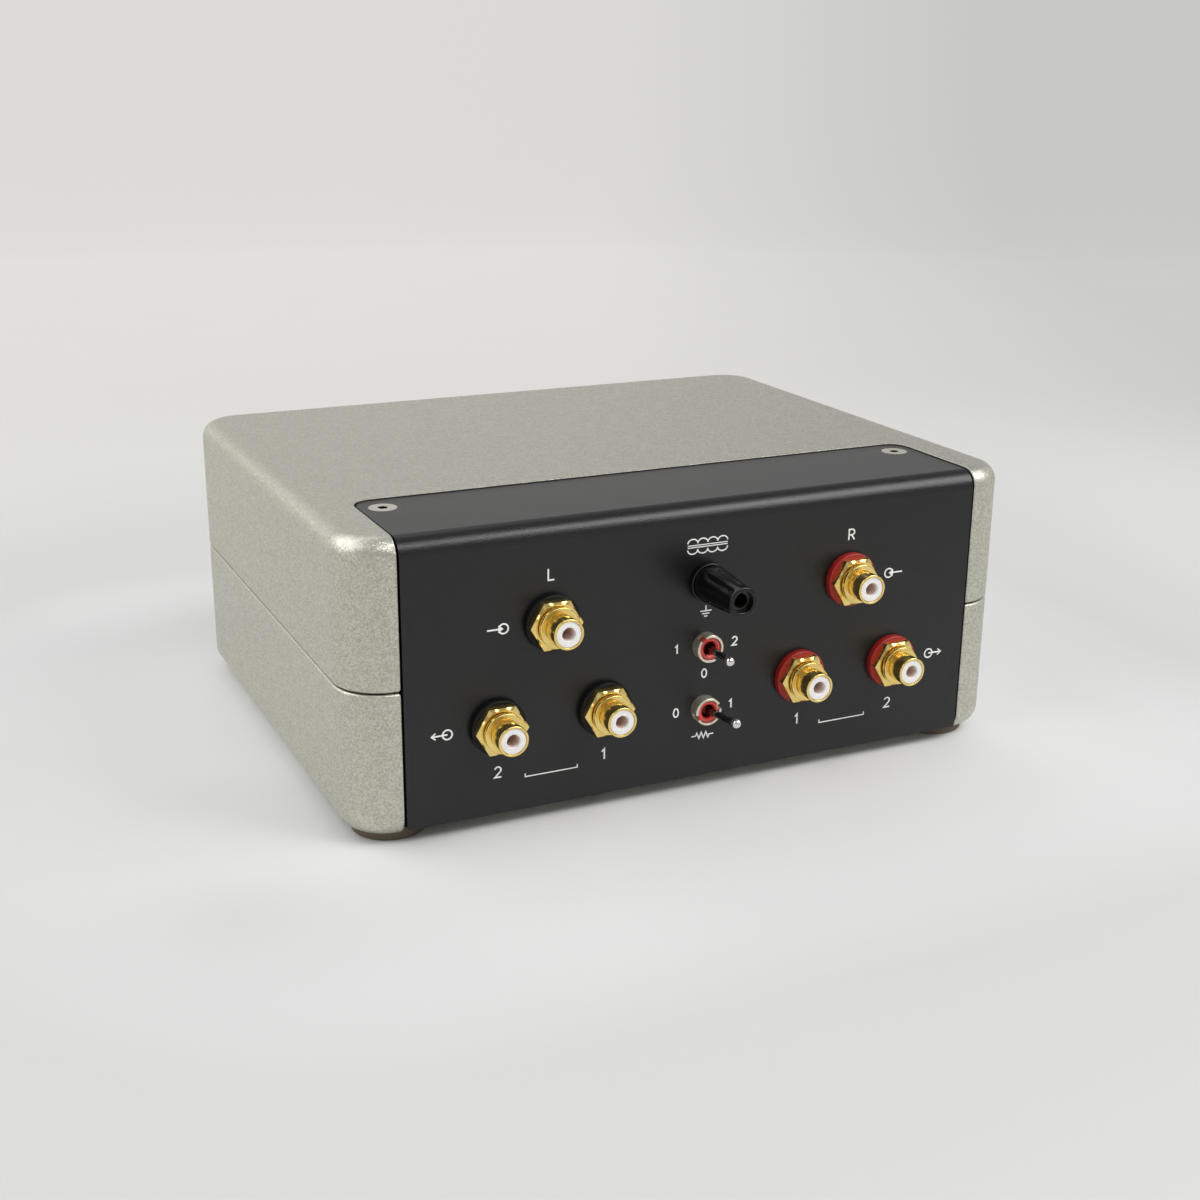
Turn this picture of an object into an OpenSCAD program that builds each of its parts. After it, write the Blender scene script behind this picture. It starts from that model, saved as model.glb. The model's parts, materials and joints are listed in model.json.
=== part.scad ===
// Step-up transformer box for a moving coil cartridge: two rounded shells, a folded front panel
// with six phono sockets, two toggle switches and a ground post, and two shielded transformers inside.
// Millimetres. The front faces -Y, +Z is up, and the origin is on the floor under the part's middle.

/* [Case] */
// Width of the case
case_w = 200; // [190:1:260]
// Depth of the case, without its connectors
case_d = 160; // [140:1:240]
// Height of each of the two shells
shell_h = 40; // [38:0.5:60]
// Wall of the shells
wall = 3; // [2:0.1:3.5]
// Radius of the upright corners
corner_r = 13; // [12:0.1:18]
// Radius of the edge round the top
top_r = 5; // [4.5:0.1:7]
// Radius of the edge round the bottom
bottom_r = 5.4; // [4:0.1:6]
// Rounding of the edges along the seam
lip_r = 0.8; // [0.4:0.1:1.2]
// Rounding of the edge round the panel
rim_r = 0.5; // [0.3:0.1:0.8]
// Flat between that rounding and the corner of the case
rim_flat = 0.4; // [0.1:0.1:0.6]
// Open line between the two shells
seam_gap = 0.4; // [0.2:0.1:0.8]
// Thickness of the tongue that centres the upper shell on the lower one
tongue_t = 1.5; // [1:0.1:2]
// Height of that tongue above the seam
tongue_h = 2; // [1:0.1:3]
// Depth of the tongue's root below the seam
tongue_root = 5; // [3:0.5:6]

/* [Front panel] */
// Thickness of the folded sheet
panel_t = 2; // [1.5:0.1:2.4]
// Gap between the panel and the shells
panel_gap = 0.5; // [0.2:0.1:0.8]
// How far the top strip lies below the top of the case
panel_drop = 0.4; // [0:0.1:0.8]
// Height of the panel's lower edge above the underside of the case
panel_rise = 1.9; // [1:0.1:4]
// Depth of the strip on top, from the front
strip_d = 38.2; // [30:0.2:60]
// Radius of the strip's two rear corners
strip_corner_r = 5.2; // [3:0.1:8]
// Radius of the panel's two lower corners
panel_corner_r = 1; // [0.5:0.1:2]
// Width of the flanges that the panel rests on
flange_w = 9; // [7:0.5:12]
// Thickness of those flanges
flange_t = 2.5; // [2:0.1:3]
// Height of the curb behind the panel's lower edge
curb_h = 14; // [12.5:0.5:15]

/* [Panel fixings] */
// Thread diameter of the two screws in the top strip
strip_screw_d = 4; // [3:0.5:4]
// Head diameter of those screws
strip_screw_head_d = 7.6; // [7:0.1:7.8]
// Length of those screws
strip_screw_l = 10; // [8:1:14]
// Distance of those screws from the panel's side edges
strip_screw_side = 6.1; // [5:0.1:9]
// Distance of those screws from the strip's rear edge
strip_screw_back = 7.6; // [6:0.1:12]
// Key size of the hex socket in those screws
strip_screw_key = 2.5; // [2:0.5:3]
// Diameter of the studs on the back of the panel
stud_d = 3; // [2.5:0.5:3]
// Distance of those studs from the panel's side edges
stud_side = 15.6; // [13:0.1:25]
// Height of those studs above the underside of the case
stud_z = 8.6; // [7.5:0.1:9]
// Width across the flats of the nuts on those studs
stud_nut_w = 5.5; // [5:0.5:6]
// Height of those nuts
stud_nut_h = 2.4; // [2:0.1:3]

/* [Feet and case screws] */
// Diameter of a foot
foot_d = 20; // [16:0.5:22]
// Height of a foot below the case
foot_h = 2.2; // [1:0.1:6]
// Depth that a foot is let into the case
foot_seat = 1; // [0.5:0.1:1.2]
// Distance of a foot's centre from the sides of the case
foot_inset = 14; // [13:0.5:18]
// Diameter of the hole in a foot
foot_hole_d = 9; // [8.6:0.1:11]
// Thread diameter of the screws that join the shells
case_screw_d = 4; // [3:0.5:4]
// Key size of the hex socket in those screws
case_screw_key = 3; // [2:0.5:3]
// Head diameter of those screws
case_screw_head_d = 7; // [5.5:0.5:7]
// Head height of those screws
case_screw_head_h = 4; // [3:0.5:4]
// Depth of the seat of those heads above the underside of the case
case_screw_seat = 6; // [5.5:0.5:8]
// How far those screws reach into the upper shell
case_screw_grip = 15; // [10:1:20]
// Diameter of the pillars in the lower shell
lower_pillar_d = 11; // [10.5:0.1:12]
// Diameter of the pillars in the upper shell
upper_pillar_d = 9; // [8:0.1:10]

/* [Phono sockets] */
// Distance of each channel's input socket from the middle of the panel
socket_x = 45.3; // [40:0.1:52]
// Distance of the two output sockets to each side of the input socket
socket_step = 15.25; // [13:0.05:18]
// Height of the input sockets above the seam, and depth of the output sockets below it
socket_rise = 13.2; // [12:0.1:16]
// How far a socket stands out of the panel
socket_reach = 11.5; // [10.8:0.1:15]
// Diameter of the barrel that a plug grips
barrel_d = 8.3; // [8.1:0.1:8.5]
// Length of that barrel
barrel_l = 5; // [3.6:0.1:5.2]
// Diameter of the narrow neck behind the barrel
neck_d = 7.7; // [7.4:0.1:8]
// Length of that neck
neck_l = 0.4; // [0.2:0.1:0.8]
// Diameter of the round collar
collar_d = 11; // [9:0.1:11.5]
// Diameter of the groove between the collar and the hex flange
groove_d = 9.5; // [8.6:0.1:10]
// Width of that groove
groove_w = 0.5; // [0.3:0.1:0.6]
// Thickness of the hex flange
hex_t = 2.4; // [2:0.1:3]
// Width across the flats of the hex flange
hex_w = 12.7; // [12:0.1:13.2]
// Diameter of the insulating washer
washer_d = 15.2; // [14:0.1:18]
// Thickness of that washer
washer_t = 2; // [1:0.1:2.5]
// Diameter of the panel's hole for a socket
socket_hole_d = 11; // [10:0.1:12]
// Diameter of the threaded stem through the panel
stem_d = 8; // [7.8:0.1:8.4]
// Length of the stem behind the front of the panel
stem_l = 10; // [9:0.5:14]
// Diameter of the white insulator
insulator_d = 6.9; // [6.4:0.1:6.9]
// Diameter of the hole for a plug's pin
pin_hole_d = 3.3; // [3.2:0.1:3.4]
// Depth of that hole in the contact
pin_hole_l = 10; // [9:0.5:12]
// Outer diameter of the centre contact
contact_d = 4.4; // [4.2:0.1:5]
// Thickness of the insulator's front lip over the contact
insulator_lip = 0.8; // [0.5:0.1:1.2]
// Diameter of the countersunk mouth in that lip
lip_mouth_d = 4.3; // [3.9:0.1:4.8]
// Diameter of the contact's solder tail
tail_d = 2; // [1.5:0.1:2.5]
// Length of the contact behind the front of the panel
tail_l = 14; // [13:0.5:18]
// Diameter of the rear washer's flange
rear_washer_d = 14.2; // [13:0.1:15]
// Thickness of the rear washer's flange
rear_washer_t = 1.5; // [1:0.1:2]
// Thickness of the solder tag
tag_t = 0.5; // [0.4:0.1:0.8]
// Width across the flats of the rear nut
rear_nut_w = 11; // [10.5:0.5:13]
// Height of the rear nut
rear_nut_h = 2.5; // [2:0.1:3]

/* [Toggle switches] */
// Distance of the ground post above, and the lower switch below, the switch at the seam's height
switch_step = 18.2; // [17:0.1:20]
// Diameter of the red bushing
bushing_d = 6.3; // [6:0.1:6.5]
// How far the bushing stands out of the panel
bushing_reach = 3.1; // [2.8:0.1:3.3]
// Diameter of the bushing's mouth
mouth_d = 3.9; // [3.8:0.1:4.1]
// Diameter of the lever's pivot ball
pivot_d = 4.4; // [4.3:0.1:4.6]
// Diameter of the pins on that ball
trunnion_d = 1; // [0.8:0.1:1.2]
// Distance from the pivot to the end of the lever
lever_reach = 15; // [12:0.1:18]
// Diameter of the lever at the bushing
lever_d = 2.1; // [1.8:0.1:2.2]
// Diameter of the lever behind its tip
lever_neck_d = 1.8; // [1.2:0.1:1.8]
// Diameter of the ball at the tip
lever_tip_d = 2.65; // [2:0.05:3.5]
// Length of the lever behind the pivot
lever_tail = 6; // [5:0.1:6.5]
// Swing of a lever to each side, in degrees
lever_swing = 12; // [8:1:12]
// Diameter of the dress nut
dress_nut_d = 7.8; // [7.5:0.1:9]
// How far the dress nut stands out of the panel
dress_nut_h = 3.5; // [3.4:0.1:4.5]
// Width of the two slots in that nut
dress_slot_w = 1.5; // [0.8:0.1:1.6]
// Length of those slots
dress_slot_l = 2.4; // [1.5:0.1:2.8]
// Width of the switch's case
switch_w = 13; // [12.6:0.1:14]
// Height of the switch's case
switch_h = 11.5; // [10.5:0.1:13]
// Depth of the switch's case behind the panel
switch_d = 9.5; // [9:0.1:12]
// Wall of the switch's case
switch_wall = 1.2; // [1:0.1:1.6]
// Thickness of the base that closes the case
switch_base_t = 1.6; // [1.2:0.1:2]
// Length of a terminal behind the base
terminal_l = 4; // [3:0.1:6]

/* [Ground post] */
// How far the knob stands out of the panel
post_reach = 20; // [19:0.1:24]
// Diameter of the knob at its foot
knob_d = 10.3; // [10:0.1:13]
// Diameter of the knob at its end
knob_end_d = 8.1; // [8:0.1:10]
// Number of flutes round the knob
knob_flutes = 8; // [6:1:10]
// Diameter of the metal stud
post_d = 5.5; // [5.4:0.1:5.8]
// Diameter of the plug socket in the stud
plug_d = 4.05; // [4:0.05:4.1]
// Depth of that socket
plug_l = 12; // [10:0.5:14]
// How far the stud ends behind the end of the knob
post_end = 2; // [1:0.1:3]
// Length of the stud behind the front of the panel
post_tail = 15; // [13:0.5:20]
// Diameter of the black collar
post_collar_d = 11; // [10.5:0.1:13]
// Thickness of that collar
post_collar_t = 2.2; // [1.5:0.1:3]
// Diameter of the clamp washer
clamp_d = 9; // [8:0.1:10]
// Thickness of the clamp washer
clamp_t = 0.8; // [0.6:0.1:1.2]
// Diameter of the cross hole for a bare wire
wire_hole_d = 1.8; // [1.2:0.1:2]
// Diameter of the bush that passes through the panel
post_bush_d = 7.4; // [7:0.1:8]
// Width across the flats of the nut behind the panel
post_nut_w = 9; // [8:0.5:11]
// Height of that nut
post_nut_h = 3; // [2:0.1:4]

/* [Transformers] */
// Distance of each transformer from the middle of the case
can_x = 46; // [36:0.5:52]
// Distance of the transformers behind the middle of the case
can_y = 20; // [0:0.5:32]
// Diameter of the shielding can
can_d = 40; // [39:0.5:46]
// Height of the can
can_h = 42; // [38:0.5:48]
// Wall of the can
can_wall = 1; // [0.8:0.1:1.5]
// Radius of the can's upper edge
can_edge_r = 3; // [2:0.1:5]
// Diameter of the can's flange and of its base
can_flange_d = 52; // [50:0.5:56]
// Thickness of the base
can_base_t = 1.5; // [1:0.1:3]
// Height of the pads under the base
can_pad_h = 3; // [2:0.5:6]
// Diameter of those pads
can_pad_d = 8; // [7:0.5:9]
// Thread diameter of the screws that hold a can
can_screw_d = 3; // [2.5:0.5:3]
// Width of the core
core_w = 30; // [28:0.5:30]
// Height of the core
core_h = 25; // [24:0.5:28]
// Thickness of the stack of core plates
core_t = 12; // [8:0.5:13]
// Width of the core's middle leg
core_leg = 10; // [8:0.5:10]
// Width of the core's outer legs and of its yokes
core_yoke = 5; // [4:0.5:5]
// Wall of the coil former
former_t = 0.8; // [0.6:0.1:1]
// How far the coil former's flanges stand out in front of and behind the core
former_over = 5; // [3:0.5:5]

/* [Wiring] */
// Diameter of a lead
lead_d = 2; // [1.2:0.1:2]
// Distance between leads where they enter a can
lead_step = 4; // [3:0.1:4.2]
// Height of the slot in a can for the leads
lead_slot_h = 6; // [4:0.5:7]

/* [Clearances] */
// Gap on each side between pieces that drop into one another
fit_gap = 0.2; // [0.1:0.05:0.3]
// Gap on each side between pieces that slide or turn closely
slip_gap = 0.05; // [0.03:0.01:0.08]
// Gap round the lever's pivot ball
ball_gap = 0.15; // [0.1:0.01:0.2]

/* [Hidden] */
$fn = 64;
// How far a cutting shape runs past the surface that it cuts
past = 1;
// How far pieces of one solid run into each other
bite = 0.5;
// Room between a screw's tip and the end of its hole
tip_gap = 1;
// How far a thread stands out of its nut
thread_end = 0.5;
// Room between the end of a flange and the tongue or bend beside it
flange_clear = 1;

front = -case_d / 2;
core_x = case_w / 2 - corner_r;
core_y = case_d / 2 - corner_r;
// Height of the walls of one shell, from its open edge to its flat
shell_wall_h = shell_h - seam_gap / 2;
case_h = 2 * shell_h;

// The opening for the panel, and the panel in it
rim_w = rim_r + rim_flat;
opening_x = core_x - rim_w;
opening_back = front + strip_d + panel_gap;
opening_corner_r = strip_corner_r + panel_gap;
panel_w = 2 * (opening_x - panel_gap);
strip_top = case_h - panel_drop;
strip_bottom = strip_top - panel_t;
panel_back = front + panel_t;

// Screws and studs of the panel
strip_screw_x = panel_w / 2 - strip_screw_side;
strip_screw_y = front + strip_d - strip_screw_back;
strip_screw_head_h = (strip_screw_head_d - strip_screw_d) / 2;
strip_boss_wall = 2.5;
strip_boss_d = strip_screw_d + 2 * strip_boss_wall;
strip_socket_l = 1.6;
stud_x = panel_w / 2 - stud_side;
// Raises the curb off the underside, so that the panel's lower edge hangs free of it
curb_lift = 0.4;

// Feet and the pillars above them
foot_x = case_w / 2 - foot_inset;
foot_y = case_d / 2 - foot_inset;
pillar_top = strip_bottom - fit_gap;
foot_edge = 0.5;
case_screw_socket_l = 2;

// Sockets: name, place across the panel, height above the underside of the case
socket_spots = [["in", 0, 1], ["low", -1, -1], ["high", 1, -1]];
sockets = [
    for (side = [-1, 1], spot = socket_spots)
        [
            str(side < 0 ? "left_" : "right_", spot[0]),
            side * (socket_x + spot[1] * socket_step),
            shell_h + spot[2] * socket_rise,
            side
        ]
];
hex_end = washer_t + hex_t;
collar_end = socket_reach - barrel_l - neck_l;
contact_end = socket_reach - insulator_lip;
rear_washer_end = panel_t + rear_washer_t;
tag_end = rear_washer_end + tag_t;
tag_w = 4;
tag_reach = 11;
barrel_edge = 0.4;
lip_hole_d = pin_hole_d + 2 * fit_gap;
lip_slope = (lip_mouth_d - lip_hole_d) / insulator_lip;
washer_edge = 0.4;
// The shallow cone that takes the corners off the hex flange
hex_cone_slope = 16;
hex_face_d = hex_w - 0.6;
hex_cone_d = hex_face_d + 2 * hex_t / tan(hex_cone_slope);

// Switches: name, height, direction of the lever at rest, angle of the nut's slots
switches = [
    ["upper", shell_h, 0, 127],
    ["lower", shell_h - switch_step, lever_swing, 20]
];
socket_ball_d = pivot_d + 2 * ball_gap;
// Wall of the bushing left outside the ends of the pins
trunnion_cover = 0.3;
trunnion_l = bushing_d - 2 * trunnion_cover;
dress_nut_edge = 0.3;
bushing_edge = 0.5;
mouth_edge = 0.4;
terminal_w = 1.6;
terminal_t = 0.8;
terminal_x = 4.7;
terminal_z = 2.4;

// Ground post
post_z = shell_h + switch_step;
post_hole_d = post_bush_d + 2 * fit_gap;
clamp_end = post_collar_t + clamp_t;
knob_bore_d = post_d + 2 * slip_gap;
knob_l = post_reach - clamp_end;
knob_foot_l = 2;
knob_edge = 0.6;
flute_r = 1.5;
flute_depth = 0.45;
// Plain ring left at the end of the knob, past the flutes
knob_ring_l = 1.2;
post_bush_end = panel_t + rear_washer_t;
post_tag_end = post_bush_end + tag_t;

// Transformers
can_pads = [90, 210, 330];
can_pad_r = (can_d / 2 + can_flange_d / 2) / 2;
can_seat = wall + can_pad_h;
can_flange_z = can_seat + can_base_t;
can_screw_head_d = 5.6;
can_screw_head_h = 2;
can_screw_l = 5;
core_z = can_flange_z;
core_window_w = (core_w - core_leg) / 2 - core_yoke;
core_window_h = core_h - 2 * core_yoke;
former_h = core_window_h - 2 * fit_gap;
former_in_x = core_leg / 2 + fit_gap;
former_in_y = core_t / 2 + fit_gap;
former_out_x = core_leg / 2 + core_window_w - fit_gap;
former_out_y = core_t / 2 + former_over;
winding_gap = 0.3;
winding_corner_r = 2;

// Leads of the right channel: from a socket or a switch terminal to the edge of the coil former
lead_start_y = front + tail_l;
lead_switch_y = front + panel_t + switch_d + terminal_l;
lead_end_y = can_y - former_out_y;
lead_end_z = core_z + core_yoke + fit_gap + former_t / 2;
lead_starts = [
    [terminal_x, lead_switch_y, shell_h - switch_step + terminal_z],
    [terminal_x, lead_switch_y, shell_h + terminal_z],
    [socket_x - socket_step, lead_start_y, shell_h - socket_rise],
    [socket_x, lead_start_y, shell_h + socket_rise],
    [socket_x + socket_step, lead_start_y, shell_h - socket_rise]
];
lead_last = len(lead_starts) - 1;
// Room beside the outer leads in the slot
lead_side = 1;
lead_slot_w = lead_last * lead_step + lead_d + 2 * lead_side;
// Share of a lead's run over which each end pulls it straight
lead_pull = 0.45;
lead_rings = 16;
lead_sides = 8;

// The part stands on its feet, centred under its whole depth
part_shift = [0, post_reach / 2, foot_h];

sides = ["left", "right"];
feet = ["foot_front_left", "foot_front_right", "foot_rear_left", "foot_rear_right"];

// Moves what is drawn about the case's own middle to the part's place
module placed() translate(part_shift) children();

// Points +Z out of the panel, with 0 at the front of the panel, at a spot on the panel
module on_panel(x, z) translate([x, front, z]) rotate([90, 0, 0]) children();

// A copy to the right and a mirrored one to the left
module both_sides() for (m = [0, 1]) mirror([m, 0, 0]) children();

// A copy at each foot
module at_feet() for (x = [-1, 1], y = [-1, 1]) translate([x * foot_x, y * foot_y, 0]) children();

module quarter(r) intersection() {
    circle(r);
    square(r);
}

module hex_bar(w, h) cylinder(d = w / cos(30), h = h, $fn = 6);

// A bar with its outer end rounded
module round_bar(d, h, edge_r) rotate_extrude() {
    square([d / 2, h - edge_r]);
    square([d / 2 - edge_r, h]);
    translate([d / 2 - edge_r, h - edge_r]) quarter(edge_r);
}

// A tube from z0 to z1
module ring(outer_d, inner_d, z0, z1) translate([0, 0, z0]) difference() {
    cylinder(d = outer_d, h = z1 - z0);
    translate([0, 0, -past]) cylinder(d = inner_d, h = z1 - z0 + 2 * past);
}

// Section of a wall with its open edge rounded: x runs outward, y from the open edge
module edge_section(high) {
    translate([0, lip_r]) square([wall, high - lip_r]);
    square([wall - lip_r, lip_r]);
    translate([wall - lip_r, lip_r]) rotate(-90) quarter(lip_r);
}

// The same wall standing on the flat of a shell
module wall_section(reach, high, edge_r) {
    translate([reach - wall, 0]) edge_section(high - edge_r);
    translate([reach - edge_r, high - edge_r]) difference() {
        quarter(edge_r);
        circle(edge_r - wall);
    }
    translate([0, high - wall]) square([reach - edge_r, wall]);
}

// Carries a section along one straight side: 0 is right, 90 rear, 180 left, 270 front
module along_side(turn, from_middle, length) {
    rotate(turn) translate([from_middle, 0, 0]) rotate([90, 0, 0])
        linear_extrude(length, center = true) children();
}

// The four corners and three walls of a shell, open at z = 0
module shell_walls(edge_r) {
    for (turn = [0, 180])
        along_side(turn, core_x, 2 * core_y) wall_section(corner_r, shell_wall_h, edge_r);
    along_side(90, core_y, 2 * core_x) wall_section(corner_r, shell_wall_h, edge_r);
    for (c = [[1, 1, 0], [-1, 1, 90], [-1, -1, 180], [1, -1, 270]])
        translate([c[0] * core_x, c[1] * core_y, 0]) rotate(c[2])
            rotate_extrude(angle = 90) wall_section(corner_r, shell_wall_h, edge_r);
}

// Section of the rounded edge beside the panel: x runs away from the panel, y outward
module lip_section() {
    square([rim_r, wall - rim_r]);
    translate([rim_r, wall - rim_r]) rotate(90) quarter(rim_r);
}

// The same with the flat that joins it to the corner
module rim_section() {
    lip_section();
    translate([rim_r, 0]) square([rim_flat, wall]);
}

// The upright part of the rim at the right, turned out along the seam under the seam's own rounding
module upright_rim(high) intersection() {
    union() {
        translate([opening_x, front + wall, rim_w]) mirror([0, 1, 0])
            linear_extrude(high - rim_w) rim_section();
        translate([core_x, front + wall, rim_w]) rotate([90, 0, 0]) rotate(180)
            rotate_extrude(angle = 90) translate([rim_w, 0]) mirror([1, 0]) rim_section();
    }
    along_side(270, core_y, 2 * core_x) translate([corner_r - wall, 0]) edge_section(high);
}

// The rim of the opening at the right, from the seam over the bend and along the flat to y_end
module side_rim(edge_r, y_end) {
    upright_rim(shell_wall_h - edge_r);
    translate([opening_x, front + edge_r, shell_wall_h - edge_r]) rotate([0, 90, 0]) rotate(180)
        rotate_extrude(angle = 90) translate([edge_r - wall, 0]) mirror([1, -1]) rim_section();
    translate([opening_x, y_end, shell_wall_h - wall]) rotate([90, 0, 0])
        linear_extrude(y_end - front - edge_r) rim_section();
}

// The rounded rear corner of the opening at the right
module corner_rim() {
    r = opening_corner_r;
    translate([opening_x - r, opening_back - r, shell_wall_h - wall]) {
        rotate_extrude(angle = 90) translate([r, 0]) lip_section();
        linear_extrude(wall) difference() {
            square(r + rim_w);
            circle(r + rim_r);
        }
    }
}

module rear_rim() {
    length = 2 * (opening_x - opening_corner_r);
    translate([-length / 2, opening_back, shell_wall_h - wall]) rotate([90, 0, 90])
        linear_extrude(length) rim_section();
}

module top_flat() {
    y0 = opening_back + rim_w;
    translate([-core_x, y0, shell_wall_h - wall]) cube([2 * core_x, core_y - y0, wall]);
}

// Flange behind the panel's side edge, between two heights above the underside of the case
module side_flange(z0, z1) {
    translate([opening_x - flange_w, panel_back, z0])
        cube([flange_w + rim_w + bite, flange_t, z1 - z0]);
}

// U-shaped ledge under the top strip
module strip_ledge() {
    y0 = front + top_r + flange_clear;
    y1 = opening_back + rim_w + bite;
    half = core_x + bite;
    translate([-half, y0, strip_bottom - flange_t]) difference() {
        cube([2 * half, y1 - y0, flange_t]);
        translate([half - opening_x + flange_w, -past, -past])
            cube([
                2 * (opening_x - flange_w),
                opening_back - flange_w - y0 + past,
                flange_t + 2 * past
            ]);
    }
}

module upper_shell_solid() {
    translate([0, 0, shell_h + seam_gap / 2]) {
        shell_walls(top_r);
        top_flat();
        rear_rim();
        both_sides() {
            side_rim(top_r, opening_back - opening_corner_r);
            corner_rim();
        }
    }
    both_sides() side_flange(shell_h + tongue_h + flange_clear, case_h - top_r - flange_clear);
    strip_ledge();
    at_feet() translate([0, 0, shell_h]) cylinder(d = upper_pillar_d, h = pillar_top - shell_h);
    for (x = [-1, 1]) translate([x * foot_x, foot_y, pillar_top - bite])
        cylinder(d = upper_pillar_d, h = case_h - bite - pillar_top);
    both_sides() translate([strip_screw_x, strip_screw_y, strip_bottom - strip_screw_l])
        cylinder(d = strip_boss_d, h = strip_screw_l - bite);
}

module upper_shell() color("#bdbbae") difference() {
    upper_shell_solid();
    at_feet() translate([0, 0, shell_h - past])
        cylinder(d = case_screw_d + 2 * slip_gap, h = case_screw_grip + past + tip_gap);
    both_sides() translate([strip_screw_x, strip_screw_y, strip_bottom - strip_screw_l - past])
        cylinder(d = strip_screw_d + 2 * slip_gap, h = strip_screw_l + 2 * past);
}

// Section of the tongue inside the seam, x outward, y up from the seam
module tongue_section() {
    inner = corner_r - wall;
    translate([inner - tongue_t - fit_gap, -tongue_root])
        square([tongue_t, tongue_root + tongue_h]);
    translate([inner - fit_gap, -tongue_root]) square([fit_gap + bite, tongue_root - seam_gap]);
}

module tongue() translate([0, 0, shell_h]) {
    for (turn = [0, 180]) along_side(turn, core_x, 2 * core_y) tongue_section();
    along_side(90, core_y, 2 * core_x) tongue_section();
    for (c = [[1, 1, 0], [-1, 1, 90], [-1, -1, 180], [1, -1, 270]])
        translate([c[0] * core_x, c[1] * core_y, 0]) rotate(c[2])
            rotate_extrude(angle = 90) tongue_section();
}

// Upstand behind the panel's lower edge, with its own rounded foot
module curb() {
    reach = corner_r - panel_t;
    translate([0, 0, curb_h + curb_lift]) mirror([0, 0, 1])
        along_side(270, core_y, 2 * (core_x + bite)) wall_section(reach, curb_h, bottom_r);
}

// Places under the cans, one for each screw
module at_can_pads(side) translate([side * can_x, can_y, 0])
    for (a = can_pads) rotate(a) translate([can_pad_r, 0, 0]) children();

module lower_shell_solid() {
    translate([0, 0, shell_wall_h]) mirror([0, 0, 1]) {
        shell_walls(bottom_r);
        both_sides() side_rim(bottom_r, -core_y);
        translate([-core_x, -core_y, shell_wall_h - wall])
            cube([2 * core_x, 2 * core_y, wall]);
    }
    tongue();
    curb();
    both_sides() side_flange(curb_h - bite, shell_h - tongue_root - flange_clear);
    at_feet() translate([0, 0, wall - bite])
        cylinder(d = lower_pillar_d, h = shell_h - wall + bite);
    for (side = [-1, 1]) at_can_pads(side) translate([0, 0, wall - bite])
        cylinder(d = can_pad_d, h = can_pad_h + bite);
}

module lower_shell() color("#bdbbae") difference() {
    lower_shell_solid();
    at_feet() {
        translate([0, 0, -past]) cylinder(d = foot_d + 2 * fit_gap, h = foot_seat + past);
        translate([0, 0, -past])
            cylinder(d = case_screw_head_d + 2 * fit_gap, h = case_screw_seat + past);
        cylinder(d = case_screw_d + 2 * fit_gap, h = shell_h + past);
    }
    both_sides() on_panel(stud_x, stud_z) translate([0, 0, -panel_t - wall - past])
        cylinder(d = stud_d + 2 * fit_gap, h = wall + 2 * past);
    for (side = [-1, 1]) at_can_pads(side) translate([0, 0, can_seat - can_screw_l])
        cylinder(d = can_screw_d + 2 * slip_gap, h = can_screw_l + past);
}

// Front of the panel, flat: x across, y up from the underside of the case
module panel_outline() {
    r = panel_corner_r;
    straight = strip_top - top_r - panel_rise;
    translate([-panel_w / 2, panel_rise + r]) square([panel_w, straight - r]);
    translate([r - panel_w / 2, panel_rise]) square([panel_w - 2 * r, r]);
    for (m = [0, 1]) mirror([m, 0])
        translate([panel_w / 2 - r, panel_rise + r]) rotate(-90) quarter(r);
}

// Top strip, flat: x across, y from the end of the bend to the rear
module strip_outline() {
    r = strip_corner_r;
    length = strip_d - top_r;
    translate([-panel_w / 2, 0]) square([panel_w, length - r]);
    translate([r - panel_w / 2, length - r]) square([panel_w - 2 * r, r]);
    for (m = [0, 1]) mirror([m, 0]) translate([panel_w / 2 - r, length - r]) quarter(r);
}

module front_panel() color("#2b2b2b") difference() {
    union() {
        translate([0, panel_back, 0]) rotate([90, 0, 0]) linear_extrude(panel_t) panel_outline();
        translate([-panel_w / 2, front + top_r, strip_top - top_r]) rotate([0, 90, 0]) rotate(180)
            rotate_extrude(angle = 90) translate([top_r - panel_t, 0]) square([panel_t, panel_w]);
        translate([0, front + top_r, strip_bottom]) linear_extrude(panel_t) strip_outline();
        both_sides() on_panel(stud_x, stud_z)
            translate([0, 0, -panel_t - wall - stud_nut_h - thread_end])
                cylinder(d = stud_d, h = wall + stud_nut_h + thread_end + bite);
    }
    for (s = sockets) on_panel(s[1], s[2]) translate([0, 0, -panel_t - past])
        cylinder(d = socket_hole_d, h = panel_t + 2 * past);
    for (s = switches) on_panel(0, s[1]) translate([0, 0, -panel_t - past])
        cylinder(d = bushing_d + 2 * fit_gap, h = panel_t + 2 * past);
    on_panel(0, post_z) translate([0, 0, -panel_t - past])
        cylinder(d = post_hole_d, h = panel_t + 2 * past);
    both_sides() translate([strip_screw_x, strip_screw_y, strip_top]) {
        translate([0, 0, -strip_screw_head_h - slip_gap])
            cylinder(d1 = strip_screw_d + 2 * slip_gap, d2 = strip_screw_head_d + 2 * slip_gap,
                     h = strip_screw_head_h);
        translate([0, 0, -2 * slip_gap])
            cylinder(d = strip_screw_head_d + 2 * slip_gap, h = past);
        translate([0, 0, -panel_t - past])
            cylinder(d = strip_screw_d + 2 * slip_gap, h = panel_t + past);
    }
}

module strip_screws() color("#55524c")
    both_sides() translate([strip_screw_x, strip_screw_y, strip_top]) difference() {
        union() {
            translate([0, 0, -strip_screw_head_h])
                cylinder(d1 = strip_screw_d, d2 = strip_screw_head_d, h = strip_screw_head_h);
            translate([0, 0, -strip_screw_l]) cylinder(d = strip_screw_d, h = strip_screw_l - bite);
        }
        translate([0, 0, -strip_socket_l]) hex_bar(strip_screw_key, strip_socket_l + past);
    }

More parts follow.
